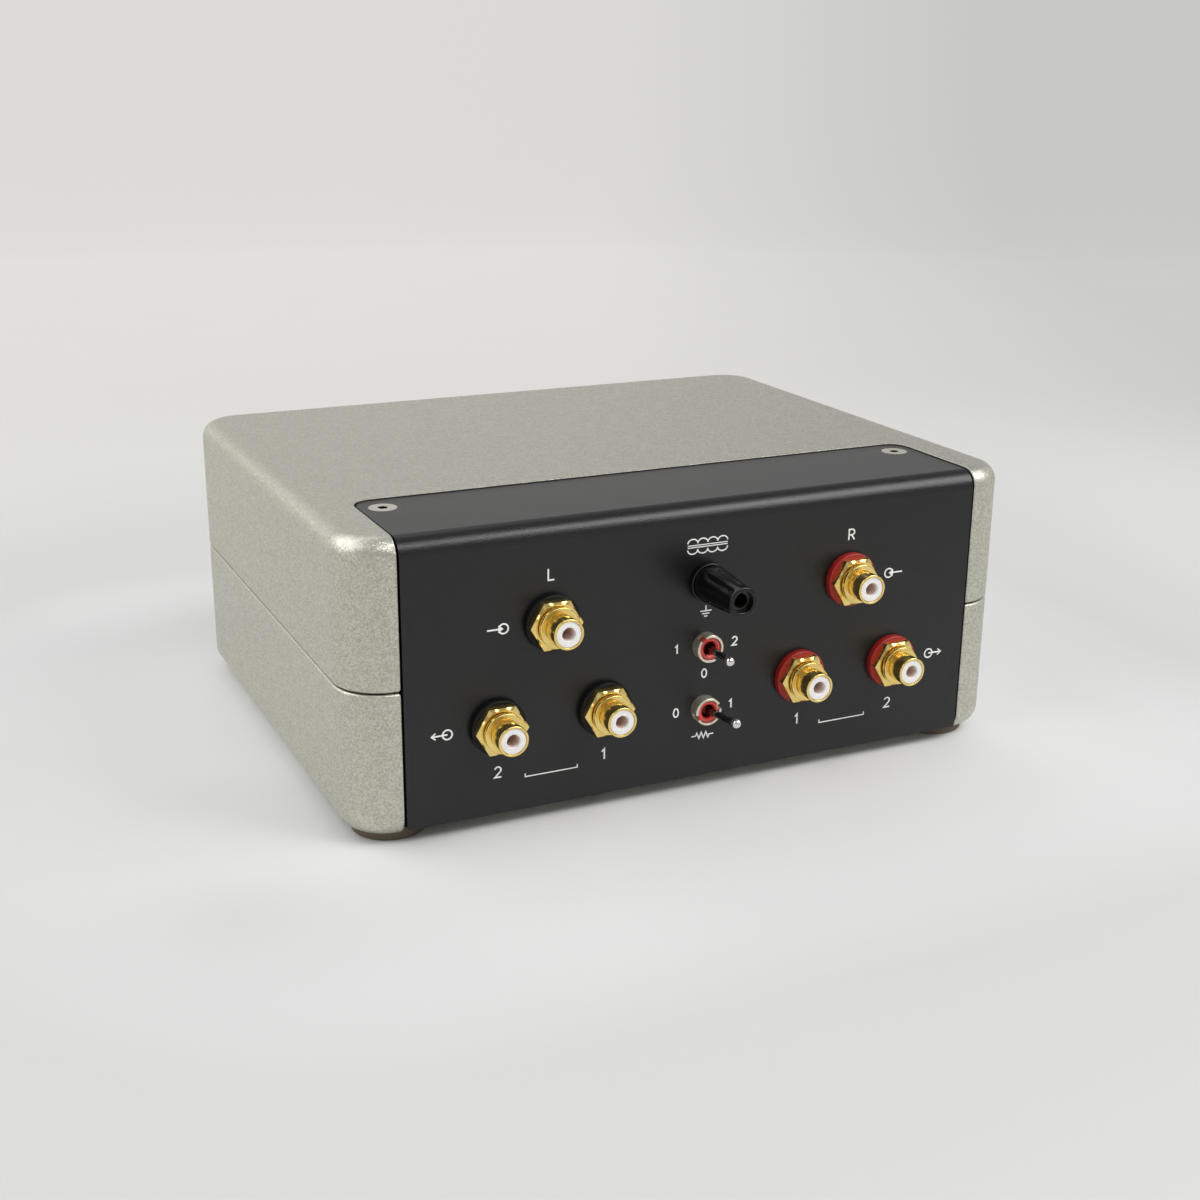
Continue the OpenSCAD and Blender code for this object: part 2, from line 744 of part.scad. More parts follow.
module stud_nuts() color("#b8b8b4")
    both_sides() on_panel(stud_x, stud_z)
        translate([0, 0, -panel_t - wall - stud_nut_h]) difference() {
            hex_bar(stud_nut_w, stud_nut_h);
            translate([0, 0, -past]) cylinder(d = stud_d + 2 * slip_gap, h = stud_nut_h + 2 * past);
        }

module case_screws() color("#b8b8b4") at_feet() {
    translate([0, 0, case_screw_seat - case_screw_head_h]) difference() {
        cylinder(d = case_screw_head_d, h = case_screw_head_h);
        translate([0, 0, -past]) hex_bar(case_screw_key, case_screw_socket_l + past);
    }
    translate([0, 0, case_screw_seat])
        cylinder(d = case_screw_d, h = shell_h - case_screw_seat + case_screw_grip);
}

module foot(side, end) color("#463e34")
    translate([side * foot_x, end * foot_y, -foot_h]) difference() {
        rotate_extrude() {
            translate([0, foot_edge]) square([foot_d / 2, foot_h + foot_seat - foot_edge]);
            square([foot_d / 2 - foot_edge, foot_edge]);
            translate([foot_d / 2 - foot_edge, foot_edge]) rotate(-90) quarter(foot_edge);
        }
        translate([0, 0, -past]) cylinder(d = foot_hole_d, h = foot_h + foot_seat + 2 * past);
    }

// Hex flange, collar, neck, barrel and stem in one turned piece, bored for the insulator
module socket_body(s) color("#d8b24a") on_panel(s[1], s[2]) difference() {
    union() {
        intersection() {
            translate([0, 0, washer_t]) hex_bar(hex_w, hex_t);
            translate([0, 0, washer_t]) cylinder(d1 = hex_cone_d, d2 = hex_face_d, h = hex_t);
        }
        translate([0, 0, hex_end - bite]) cylinder(d = groove_d, h = groove_w + 2 * bite);
        translate([0, 0, hex_end + groove_w])
            cylinder(d = collar_d, h = collar_end - hex_end - groove_w);
        translate([0, 0, collar_end - bite]) cylinder(d = neck_d, h = neck_l + 2 * bite);
        translate([0, 0, socket_reach - barrel_l]) round_bar(barrel_d, barrel_l, barrel_edge);
        translate([0, 0, -stem_l]) cylinder(d = stem_d, h = stem_l + washer_t + bite);
    }
    translate([0, 0, -stem_l - past])
        cylinder(d = insulator_d + 2 * slip_gap, h = stem_l + socket_reach + 2 * past);
}

module socket_washer(s) color(s[3] < 0 ? "#1c1c1c" : "#b3202a") on_panel(s[1], s[2]) difference() {
    union() {
        cylinder(d = washer_d, h = washer_t - washer_edge);
        translate([0, 0, washer_t - washer_edge])
            cylinder(d1 = washer_d, d2 = washer_d - 2 * washer_edge, h = washer_edge);
    }
    translate([0, 0, -past]) cylinder(d = stem_d + 2 * fit_gap, h = washer_t + 2 * past);
}

// White sleeve with a narrow lip over the mouth of the contact, countersunk to guide a pin
module socket_insulators(side) color("#f2f0ec") for (s = sockets) if (s[3] == side)
    on_panel(s[1], s[2]) difference() {
        translate([0, 0, -stem_l]) cylinder(d = insulator_d, h = stem_l + socket_reach - fit_gap);
        translate([0, 0, -stem_l - past])
            cylinder(d = contact_d + 2 * slip_gap, h = stem_l + past + contact_end - fit_gap);
        translate([0, 0, contact_end - fit_gap - bite])
            cylinder(
                d1 = lip_hole_d - lip_slope * bite, d2 = lip_mouth_d + lip_slope * past,
                h = insulator_lip + bite + past
            );
    }

// Tube that takes a plug's pin, closed behind by its solder tail
module socket_contacts(side) color("#c9a24a") for (s = sockets) if (s[3] == side)
    on_panel(s[1], s[2]) difference() {
        front_end = contact_end - 2 * fit_gap;
        union() {
            translate([0, 0, -stem_l]) cylinder(d = contact_d, h = stem_l + front_end);
            translate([0, 0, -tail_l]) cylinder(d = tail_d, h = tail_l);
        }
        translate([0, 0, front_end - pin_hole_l]) cylinder(d = pin_hole_d, h = pin_hole_l + past);
    }

// Flanged washer whose spigot centres the stem in the panel
module socket_rear_washers() color("#1c1c1c") for (s = sockets) on_panel(s[1], s[2]) difference() {
    union() {
        translate([0, 0, -rear_washer_end]) cylinder(d = rear_washer_d, h = rear_washer_t);
        translate([0, 0, -rear_washer_end])
            cylinder(d = socket_hole_d - 2 * fit_gap, h = rear_washer_end - fit_gap);
    }
    translate([0, 0, -rear_washer_end - past])
        cylinder(d = stem_d + 2 * fit_gap, h = rear_washer_end + 2 * past);
}

// Ring with a solder lug that points down
module tag_plate(hole_d, ring_d) linear_extrude(tag_t) difference() {
    union() {
        circle(d = ring_d);
        translate([-tag_w / 2, -tag_reach]) square([tag_w, tag_reach]);
    }
    circle(d = hole_d);
    translate([0, -tag_reach + tag_w / 2]) circle(d = tag_w / 2);
}

module socket_tags() color("#d0c9b0") for (s = sockets) on_panel(s[1], s[2])
    translate([0, 0, -tag_end]) tag_plate(stem_d + 2 * fit_gap, rear_nut_w);

module socket_nuts() color("#d8b24a") for (s = sockets) on_panel(s[1], s[2])
    translate([0, 0, -tag_end - rear_nut_h]) difference() {
        hex_bar(rear_nut_w, rear_nut_h);
        translate([0, 0, -past]) cylinder(d = stem_d + 2 * slip_gap, h = rear_nut_h + 2 * past);
    }

// Bushing and case in one moulding: a ball seat, with a hollow for the tail of the lever behind it
module switch_body(s) color("#b8323a") on_panel(0, s[1]) difference() {
    union() {
        translate([0, 0, -panel_t - bite])
            round_bar(bushing_d, bushing_reach + panel_t + bite, bushing_edge);
        translate([-switch_w / 2, -switch_h / 2, -panel_t - switch_d])
            cube([switch_w, switch_h, switch_d]);
    }
    sphere(d = socket_ball_d);
    cylinder(d = mouth_d, h = bushing_reach + past);
    translate([0, 0, bushing_reach - mouth_edge])
        cylinder(d1 = mouth_d, d2 = mouth_d + 2 * (mouth_edge + past), h = mouth_edge + past);
    translate([0, 0, -panel_t - switch_wall - past])
        cylinder(d = socket_ball_d, h = panel_t + switch_wall + past);
    rotate([90, 0, 0])
        cylinder(d = trunnion_d + 2 * slip_gap, h = trunnion_l + 2 * slip_gap, center = true);
    slot_w = trunnion_d + 2 * slip_gap;
    translate([-slot_w / 2, -trunnion_l / 2 - slip_gap, -panel_t - switch_wall - past])
        cube([slot_w, trunnion_l + 2 * slip_gap, panel_t + switch_wall + past]);
    translate([switch_wall - switch_w / 2, switch_wall - switch_h / 2, -panel_t - switch_d - past])
        cube([switch_w - 2 * switch_wall, switch_h - 2 * switch_wall, switch_d - switch_wall + past]);
}

module at_terminals() for (x = [-1, 0, 1], y = [-1, 1])
    translate([x * terminal_x, y * terminal_z, -panel_t - switch_d]) children();

module switch_base(s) color("#26262a") on_panel(0, s[1]) difference() {
    base_w = switch_w - 2 * switch_wall - 2 * fit_gap;
    base_h = switch_h - 2 * switch_wall - 2 * fit_gap;
    translate([-base_w / 2, -base_h / 2, -panel_t - switch_d]) cube([base_w, base_h, switch_base_t]);
    at_terminals() translate([-terminal_t / 2 - slip_gap, -terminal_w / 2 - slip_gap, -past])
        cube([terminal_t + 2 * slip_gap, terminal_w + 2 * slip_gap, switch_base_t + 2 * past]);
}

module switch_terminals(s) color("#cfcfc8") on_panel(0, s[1])
    at_terminals() translate([-terminal_t / 2, -terminal_w / 2, -terminal_l])
        cube([terminal_t, terminal_w, terminal_l + switch_base_t]);

module switch_nut(s) color("#c9c5b8") on_panel(0, s[1]) difference() {
    union() {
        cylinder(d = dress_nut_d, h = dress_nut_h - dress_nut_edge);
        translate([0, 0, dress_nut_h - dress_nut_edge])
            cylinder(d1 = dress_nut_d, d2 = dress_nut_d - 2 * dress_nut_edge, h = dress_nut_edge);
    }
    translate([0, 0, -past]) cylinder(d = bushing_d + 2 * slip_gap, h = dress_nut_h + 2 * past);
    for (turn = [0, 180]) rotate(s[3] + turn)
        translate([bushing_d / 2 - bite, -dress_slot_w / 2, dress_nut_h - dress_slot_l])
            cube([dress_nut_d, dress_slot_w, dress_slot_l + past]);
}

// Tapered lever with a ball at its tip, a pivot ball with two pins, and a tail inside the switch
module switch_lever(s) color("#d9d9d6") on_panel(0, s[1]) rotate([0, s[2], 0]) {
    tip_z = lever_reach - lever_tip_d / 2;
    cylinder(d1 = lever_d, d2 = lever_neck_d, h = tip_z);
    translate([0, 0, tip_z]) sphere(d = lever_tip_d);
    sphere(d = pivot_d);
    rotate([90, 0, 0]) cylinder(d = trunnion_d, h = trunnion_l, center = true);
    translate([0, 0, -lever_tail]) cylinder(d1 = lever_neck_d, d2 = lever_d, h = lever_tail);
}

// Threaded stud with a plug socket in its end and a cross hole for a bare wire
module post_stud() color("#c9c5b8") on_panel(0, post_z) difference() {
    end_z = post_reach - post_end;
    translate([0, 0, -post_tail]) cylinder(d = post_d, h = post_tail + end_z);
    translate([0, 0, end_z - plug_l]) cylinder(d = plug_d, h = plug_l + past);
    translate([0, 0, post_collar_t + clamp_t + wire_hole_d / 2]) rotate([0, 90, 0])
        cylinder(d = wire_hole_d, h = post_d + past, center = true);
}

module post_collar() color("#1b1b1b") on_panel(0, post_z)
    ring(post_collar_d, post_d + 2 * fit_gap, 0, post_collar_t);

module post_clamp() color("#c9c5b8") on_panel(0, post_z)
    ring(clamp_d, post_d + 2 * fit_gap, post_collar_t, clamp_end);

// Tapered knob with flutes that follow the taper and run out between its foot and a plain end ring
module post_knob() color("#1b1b1b") on_panel(0, post_z) translate([0, 0, clamp_end]) {
    taper = atan((knob_d - knob_end_d) / 2 / (knob_l - knob_foot_l));
    flute_l = knob_l - knob_foot_l - knob_ring_l - flute_r;
    difference() {
        union() {
            cylinder(d = knob_d, h = knob_foot_l);
            translate([0, 0, knob_foot_l])
                cylinder(d1 = knob_d, d2 = knob_end_d, h = knob_l - knob_foot_l - knob_edge);
            translate([0, 0, knob_l - knob_edge])
                cylinder(d1 = knob_end_d, d2 = knob_end_d - knob_edge, h = knob_edge);
        }
        translate([0, 0, -past]) cylinder(d = knob_bore_d, h = knob_l + 2 * past);
        for (i = [0 : knob_flutes - 1]) rotate(i * 360 / knob_flutes)
            translate([knob_d / 2 - flute_depth + flute_r, 0, knob_foot_l]) rotate([0, -taper, 0]) {
                cylinder(r = flute_r, h = flute_l);
                translate([0, 0, flute_l]) sphere(flute_r);
            }
    }
}

// Bush that passes through the panel and carries the solder tag and the nut
module post_bush() color("#1c1c1c") on_panel(0, post_z) difference() {
    union() {
        translate([0, 0, -post_bush_end]) cylinder(d = post_collar_d, h = rear_washer_t);
        translate([0, 0, -post_bush_end]) cylinder(d = post_bush_d, h = post_bush_end - fit_gap);
    }
    translate([0, 0, -post_bush_end - past])
        cylinder(d = post_d + 2 * fit_gap, h = post_bush_end + 2 * past);
}

module post_tag() color("#d0c9b0") on_panel(0, post_z)
    translate([0, 0, -post_tag_end]) rotate(180) tag_plate(post_d + 2 * fit_gap, post_nut_w);

module post_nut() color("#c9c5b8") on_panel(0, post_z)
    translate([0, 0, -post_tag_end - post_nut_h]) difference() {
        hex_bar(post_nut_w, post_nut_h);
        translate([0, 0, -past]) cylinder(d = post_d + 2 * slip_gap, h = post_nut_h + 2 * past);
    }

module at_can(side) translate([side * can_x, can_y, 0]) children();

// Drawn cup with a rounded upper edge and a flange with three screw holes
module can(side) color("#8f8d88") at_can(side) translate([0, 0, can_flange_z]) difference() {
    rotate_extrude() {
        inner = can_edge_r - can_wall;
        translate([can_d / 2 - can_wall, 0]) square([can_wall, can_h - can_edge_r]);
        translate([can_d / 2 - can_edge_r, can_h - can_edge_r]) difference() {
            quarter(can_edge_r);
            circle(inner);
        }
        translate([0, can_h - can_wall]) square([can_d / 2 - can_edge_r, can_wall]);
        translate([can_d / 2 - can_wall, 0]) square([(can_flange_d - can_d) / 2 + can_wall, can_wall]);
    }
    for (a = can_pads) rotate(a) translate([can_pad_r, 0, -past])
        cylinder(d = can_screw_d + 2 * fit_gap, h = can_wall + 2 * past);
    translate([-lead_slot_w / 2, -can_d / 2 - past, lead_end_z - can_flange_z - lead_slot_h / 2])
        cube([lead_slot_w, can_d / 2, lead_slot_h]);
}

module can_base(side) color("#8f8d88") at_can(side) translate([0, 0, can_seat]) difference() {
    cylinder(d = can_flange_d, h = can_base_t);
    for (a = can_pads) rotate(a) translate([can_pad_r, 0, -past])
        cylinder(d = can_screw_d + 2 * fit_gap, h = can_base_t + 2 * past);
}

// Stack of E and I plates with two windows
module core(side) color("#77736b") at_can(side) translate([0, 0, core_z]) difference() {
    translate([-core_w / 2, -core_t / 2, 0]) cube([core_w, core_t, core_h]);
    for (m = [0, 1]) mirror([m, 0, 0]) translate([core_leg / 2, -core_t / 2 - past, core_yoke])
        cube([core_window_w, core_t + 2 * past, core_window_h]);
}

// A rectangular ring, given by half its inner and outer sizes
module frame_ring(in_x, in_y, out_x, out_y, h) difference() {
    translate([-out_x, -out_y, 0]) cube([2 * out_x, 2 * out_y, h]);
    translate([-in_x, -in_y, -past]) cube([2 * in_x, 2 * in_y, h + 2 * past]);
}

module coil_former(side) color("#e6dfc8")
    at_can(side) translate([0, 0, core_z + core_yoke + fit_gap]) {
        frame_ring(former_in_x, former_in_y, former_in_x + former_t, former_in_y + former_t, former_h);
        for (z = [0, former_h - former_t]) translate([0, 0, z])
            frame_ring(former_in_x, former_in_y, former_out_x, former_out_y, former_t);
    }

// Layers of wire between the former's flanges, with rounded corners
module winding(side) color("#9c5a2c")
    at_can(side) translate([0, 0, core_z + core_yoke + fit_gap + former_t + slip_gap]) {
        r = winding_corner_r;
        x = former_out_x - winding_gap;
        y = former_out_y - winding_gap;
        linear_extrude(former_h - 2 * former_t - 2 * slip_gap) difference() {
            union() {
                square([2 * (x - r), 2 * y], center = true);
                square([2 * x, 2 * (y - r)], center = true);
                for (mx = [0, 1], my = [0, 1]) mirror([mx, 0]) mirror([0, my])
                    translate([x - r, y - r]) quarter(r);
            }
            wire_in = former_t + slip_gap;
            square(2 * [former_in_x + wire_in, former_in_y + wire_in], center = true);
        }
    }

module can_screws() color("#b8b8b4") for (side = [-1, 1])
    at_can_pads(side) translate([0, 0, can_flange_z + can_wall]) {
        cylinder(d = can_screw_head_d, h = can_screw_head_h);
        grip = can_base_t + can_wall + can_screw_l - tip_gap;
        translate([0, 0, -grip]) cylinder(d = can_screw_d, h = grip);
    }

// Point and direction on a lead that leaves a and reaches b along +Y, at t from 0 to 1
function lead_handle(a, b) = [0, lead_pull * (b[1] - a[1]), 0];
function lead_point(a, b, t) =
    let (h = lead_handle(a, b), u = 1 - t)
    u * u * u * a + 3 * u * u * t * (a + h) + 3 * u * t * t * (b - h) + t * t * t * b;
function lead_way(a, b, t) =
    let (
        h = lead_handle(a, b),
        u = 1 - t,
        v = u * u * h + 2 * u * t * (b - a - 2 * h) + t * t * h
    )
    v / norm(v);

// One ring of points round a lead
function lead_ring(a, b, t) =
    let (
        way = lead_way(a, b, t),
        across = cross(way, [0, 0, 1]) / norm(cross(way, [0, 0, 1])),
        up = cross(across, way),
        turn = 360 / lead_sides
    )
    [for (k = [0 : lead_sides - 1])
        lead_point(a, b, t) + lead_d / 2 * (cos(k * turn) * across + sin(k * turn) * up)];

// A round lead swept along its curve
module lead(a, b) {
    n = lead_sides;
    last = lead_rings * n;
    points = [for (i = [0 : lead_rings]) each lead_ring(a, b, i / lead_rings)];
    walls = [
        for (i = [0 : lead_rings - 1], k = [0 : n - 1])
            let (p = i * n + k, q = i * n + (k + 1) % n)
            each [[p, p + n, q], [q, p + n, q + n]]
    ];
    caps = [for (k = [1 : n - 2]) each [[0, k, k + 1], [last, last + k + 1, last + k]]];
    polyhedron(points, concat(walls, caps));
}

module wiring(side) color("#3a3f4a") mirror([side < 0 ? 1 : 0, 0, 0])
    for (i = [0 : lead_last])
        lead(lead_starts[i], [can_x + (i - lead_last / 2) * lead_step, lead_end_y, lead_end_z]);

placed() upper_shell();
placed() lower_shell();
placed() front_panel();
placed() strip_screws();
placed() stud_nuts();
placed() case_screws();
for (i = [0 : 3]) placed() foot(i % 2 * 2 - 1, floor(i / 2) * 2 - 1);
for (s = sockets) placed() socket_body(s);
for (s = sockets) placed() socket_washer(s);
for (i = [0, 1]) placed() socket_insulators(2 * i - 1);
for (i = [0, 1]) placed() socket_contacts(2 * i - 1);
placed() socket_rear_washers();
placed() socket_tags();
placed() socket_nuts();
for (s = switches) placed() switch_body(s);
for (s = switches) placed() switch_base(s);
for (s = switches) placed() switch_terminals(s);
for (s = switches) placed() switch_nut(s);
for (s = switches) placed() switch_lever(s);
placed() post_stud();
placed() post_collar();
placed() post_clamp();
placed() post_knob();
placed() post_bush();
placed() post_tag();
placed() post_nut();
for (i = [0, 1]) placed() can(2 * i - 1);
for (i = [0, 1]) placed() can_base(2 * i - 1);
for (i = [0, 1]) placed() core(2 * i - 1);
for (i = [0, 1]) placed() coil_former(2 * i - 1);
for (i = [0, 1]) placed() winding(2 * i - 1);
placed() can_screws();
for (i = [0, 1]) placed() wiring(2 * i - 1);
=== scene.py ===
import json
import math

import bmesh
import bpy
import numpy as np
from mathutils import Matrix


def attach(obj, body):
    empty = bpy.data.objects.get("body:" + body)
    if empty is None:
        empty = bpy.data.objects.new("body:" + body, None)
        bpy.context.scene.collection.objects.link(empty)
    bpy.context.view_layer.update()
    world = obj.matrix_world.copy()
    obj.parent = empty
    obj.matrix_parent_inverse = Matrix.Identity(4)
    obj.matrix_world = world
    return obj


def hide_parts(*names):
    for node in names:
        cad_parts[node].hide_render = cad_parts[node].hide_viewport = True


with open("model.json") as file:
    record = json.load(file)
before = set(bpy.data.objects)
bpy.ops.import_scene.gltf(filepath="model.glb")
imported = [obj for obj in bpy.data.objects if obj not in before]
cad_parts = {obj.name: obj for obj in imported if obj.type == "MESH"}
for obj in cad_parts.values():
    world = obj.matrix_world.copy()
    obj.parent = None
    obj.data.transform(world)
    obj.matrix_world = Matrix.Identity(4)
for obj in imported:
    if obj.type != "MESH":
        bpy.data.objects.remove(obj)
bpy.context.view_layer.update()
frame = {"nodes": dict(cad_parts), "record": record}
scene = bpy.context.scene
scene.view_settings.view_transform = "Standard"
mm = 0.001
tau = 2 * math.pi
front = -70.0  # the panel's face, in millimetres like the lengths of every piece below
print("frame:", len(frame["nodes"]), "nodes")


# a value on its way to a socket; arithmetic on it adds Math nodes
class Wire:
    def __init__(self, finish, socket):
        self.finish = finish
        self.socket = socket

    def math(self, operation, *values):
        return self.finish.add("ShaderNodeMath", {"operation": operation}, dict(enumerate(values)))

    def __add__(self, other): return self.math("ADD", self, other)
    def __radd__(self, other): return self.math("ADD", other, self)
    def __sub__(self, other): return self.math("SUBTRACT", self, other)
    def __rsub__(self, other): return self.math("SUBTRACT", other, self)
    def __mul__(self, other): return self.math("MULTIPLY", self, other)
    def __rmul__(self, other): return self.math("MULTIPLY", other, self)
    def __truediv__(self, other): return self.math("DIVIDE", self, other)
    def __rtruediv__(self, other): return self.math("DIVIDE", other, self)
    def __pow__(self, other): return self.math("POWER", self, other)
    def __rpow__(self, other): return self.math("POWER", other, self)
    def __abs__(self): return self.math("ABSOLUTE", self)


# one material: a Principled shader, and what is painted into it
class Finish:
    def __init__(self, name, **constants):
        self.material = bpy.data.materials.new(name)
        self.material.use_nodes = True
        self.tree = self.material.node_tree
        self.shader = self.tree.nodes["Principled BSDF"]
        self.place = self.add("ShaderNodeTexCoord", {}, {}, "Object")
        self.paint(**constants)

    def feed(self, node, inputs):
        for key, value in inputs.items():
            if isinstance(value, Wire):
                self.tree.links.new(value.socket, node.inputs[key])
            else:
                node.inputs[key].default_value = value

    # any node: its settings first, then the values or links of its sockets
    def add(self, kind, settings, inputs, output=0):
        node = self.tree.nodes.new(kind)
        for key, value in settings.items():
            if key == "stops":
                ramp = node.color_ramp.elements
                while len(ramp) < len(value):
                    ramp.new(1.0)
                for stop, (position, colour) in zip(ramp, value):
                    stop.position = position
                    stop.color = colour
            else:
                setattr(node, key, value)
        self.feed(node, inputs)
        return Wire(self, node.outputs[output])

    # place along one axis, in millimetres
    def axis(self, index):
        return self.add("ShaderNodeSeparateXYZ", {}, {0: self.place}, index) / mm

    # rises straight from 0 at low to 1 at high
    def rise(self, value, low, high):
        return self.add("ShaderNodeMapRange", {}, {0: value, 1: low, 2: high})

    def larger(self, first, second):
        return self.add("ShaderNodeMath", {"operation": "MAXIMUM"}, {0: first, 1: second})

    # how far a value lies past half on either side of 0, and 0 between
    def over(self, value, half):
        return self.larger(abs(value) - half, 0.0)

    # noise whose grains are about size millimetres across
    def grain(self, size, detail):
        return self.add("ShaderNodeTexNoise", {}, {"Vector": self.place, "Scale": 1 / (size * mm), "Detail": detail})

    # a random colour for each cell of about size millimetres
    def cells(self, size):
        return self.add("ShaderNodeTexVoronoi", {}, {"Vector": self.place, "Scale": 1 / (size * mm)}, "Color")

    # a random number for each such cell
    def flakes(self, size):
        return self.add("ShaderNodeSeparateColor", {}, {0: self.cells(size)})

    # the surface's own normal, leaning at random in each such cell
    def sparkle(self, size, lean):
        level = self.add("ShaderNodeNewGeometry", {}, {}, "Normal")
        middle = {0: self.cells(size), 1: (0.5, 0.5, 0.5)}
        offset = self.add("ShaderNodeVectorMath", {"operation": "SUBTRACT"}, middle)
        leaning = {0: offset, 1: (lean, lean, lean), 2: level}
        tipped = self.add("ShaderNodeVectorMath", {"operation": "MULTIPLY_ADD"}, leaning)
        return self.add("ShaderNodeVectorMath", {"operation": "NORMALIZE"}, {0: tipped})

    def ramp(self, value, stops):
        return self.add("ShaderNodeValToRGB", {"stops": stops}, {0: value})

    def mix(self, factor, first, second):
        return self.add("ShaderNodeMix", {"data_type": "RGBA"}, {0: factor, 6: first, 7: second}, 2)

    # depth in millimetres
    def bump(self, height, depth, **inputs):
        return self.add("ShaderNodeBump", {}, {"Height": height, "Distance": depth * mm, **inputs})

    # values of the shader's own sockets, with _ for a space in their names
    def paint(self, **sockets):
        self.feed(self.shader, {key.replace("_", " "): value for key, value in sockets.items()})
        return self.material


# how far a point with these two coordinates lies from their origin
def distance(first, second):
    return (first ** 2 + second ** 2) ** 0.5


# display values from 0 to 255 as a linear colour
def tone(red, green, blue):
    c = np.array([red, green, blue]) / 255
    linear = np.where(c <= 0.04045, c / 12.92, ((c + 0.055) / 1.055) ** 2.4)
    return (*linear.tolist(), 1.0)


# quads between neighbouring points of a grid, wrapped round where it closes on itself
def gridFaces(rows, cols, closedRows, closedCols):
    r = np.arange(rows if closedRows else rows - 1)[:, None]
    c = np.arange(cols if closedCols else cols - 1)[None, :]
    r2, c2 = (r + 1) % rows, (c + 1) % cols
    corners = np.broadcast_arrays(r * cols + c, r * cols + c2, r2 * cols + c2, r2 * cols + c)
    return np.stack(corners, -1).reshape(-1, 4)


# joins grids of points in millimetres, each with its two closed flags, into one mesh; weld and sliver are in metres
def gridMesh(name, grids, finish, sharp=35, weld=1e-7, sliver=1e-8):
    points, faces, start = [], [], 0
    for grid, closedRows, closedCols in grids:
        points.append(grid.reshape(-1, 3))
        faces.append(gridFaces(*grid.shape[:2], closedRows, closedCols) + start)
        start += grid.shape[0] * grid.shape[1]
    mesh = bpy.data.meshes.new(name)
    mesh.from_pydata((np.concatenate(points) * mm).tolist(), [], np.concatenate(faces).tolist())
    work = bmesh.new()
    work.from_mesh(mesh)
    bmesh.ops.remove_doubles(work, verts=work.verts, dist=weld)
    bmesh.ops.dissolve_degenerate(work, dist=sliver, edges=work.edges)
    bmesh.ops.recalc_face_normals(work, faces=work.faces)
    work.to_mesh(mesh)
    work.free()
    mesh.polygons.foreach_set("use_smooth", np.ones(len(mesh.polygons), dtype=bool))
    mesh.set_sharp_from_angle(angle=math.radians(sharp))
    mesh.materials.append(finish)
    return mesh


# a piece that rides on a body of the part, in place of the named CAD nodes
def addPiece(name, grids, finish, body="case", replaced=(), sharp=35):
    piece = bpy.data.objects.new(name, gridMesh(name, grids, finish, sharp))
    scene.collection.objects.link(piece)
    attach(piece, body)
    if replaced:
        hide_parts(*replaced)


# each corner (along, radius, fillet) of a section becomes an arc that touches both its sides
def rounded(corners, closed=True, steps=7):
    path = []
    for i, (along, radius, fillet) in enumerate(corners):
        here = np.array([along, radius], float)
        if fillet == 0 or (not closed and i in (0, len(corners) - 1)):
            path.append(here[None])
            continue
        u = np.array(corners[i - 1][:2]) - here
        v = np.array(corners[(i + 1) % len(corners)][:2]) - here
        u, v = u / np.linalg.norm(u), v / np.linalg.norm(v)
        half = math.acos(np.clip(u @ v, -1, 1)) / 2
        middle = here + (u + v) / np.linalg.norm(u + v) * fillet / math.sin(half)
        cut = fillet / math.tan(half)
        first, last = here + u * cut - middle, here + v * cut - middle
        s, turn = np.linspace(0, 1, steps)[:, None], math.pi - 2 * half
        path.append(middle + (np.sin((1 - s) * turn) * first + np.sin(s * turn) * last) / math.sin(turn))
    return np.concatenate(path)


# a point at (along, radius, angle) off the panel lies at x + r cos t, front - a, z + r sin t
def offPanel(along, radius, angle, x, z):
    places = np.broadcast_arrays(x + radius * np.cos(angle), front - along, z + radius * np.sin(angle))
    return np.stack(places, -1)


# a section carried round its axis, cut back to the sides of a hexagon where it is wider than the flats:
# the hexagon's radius is flats / cos t, with t the angle from the middle of the nearest side
def turned(section, x, z, turns=96, flats=None):
    angle = np.linspace(0, tau, turns, endpoint=False)[None, :]
    radius = section[:, 1:] + 0 * angle
    if flats:
        radius = np.minimum(radius, flats / np.cos(angle % (tau / 6) - tau / 12))
    return offPanel(section[:, :1], radius, angle, x, z)


# shells: champagne paint, and painted shade deep inside the gap round the panel's opening
shell = {
    "speck": 0.45, "flake": 0.4, "cloud": 2.4, "lean": 0.2, "depth": 0.08,
    "tones": [(0.05, tone(144, 142, 131)), (0.5, tone(197, 195, 182)), (0.95, tone(234, 233, 223))],
    "openingSide": 80.4, "openingRear": -37.0,  # middle of the opening's rounded corners
    "openingEdge": (5.88, 5.78), "openingFoot": (3, 4),  # from paint to painted shade: distance from there, and height
    "gapShadeTone": tone(16, 15, 13),
}
shellPaint = Finish("shellPaint", Coat_Roughness=0.2)
speck = shellPaint.grain(shell["speck"], 3)
flake = shellPaint.flakes(shell["flake"])
cloud = shellPaint.grain(shell["cloud"], 2)
light = 0.5 * (speck - 0.5) + 0.3 * (flake - 0.5) + 0.15 * (cloud - 0.5) + 0.5
pastSide = shellPaint.over(shellPaint.axis(0), shell["openingSide"])
pastRear = shellPaint.larger(shellPaint.axis(1) - shell["openingRear"], 0.0)
inside = shellPaint.rise(distance(pastSide, pastRear), *shell["openingEdge"])
# painted shade: dark, dull and without metal where the rim wall lies deep in the gap
gapShade = inside * shellPaint.rise(shellPaint.axis(2), *shell["openingFoot"])
shellPaint.paint(
    Base_Color=shellPaint.mix(gapShade, shellPaint.ramp(light, shell["tones"]), shell["gapShadeTone"]),
    Metallic=0.85 * (1 - gapShade),
    Coat_Weight=0.05 * (1 - gapShade),
    Roughness=0.46 - 0.12 * flake + 0.06 * (cloud - 0.5) + 0.3 * gapShade,
    Normal=shellPaint.bump(speck, shell["depth"], Normal=shellPaint.sparkle(shell["flake"], shell["lean"])),
)

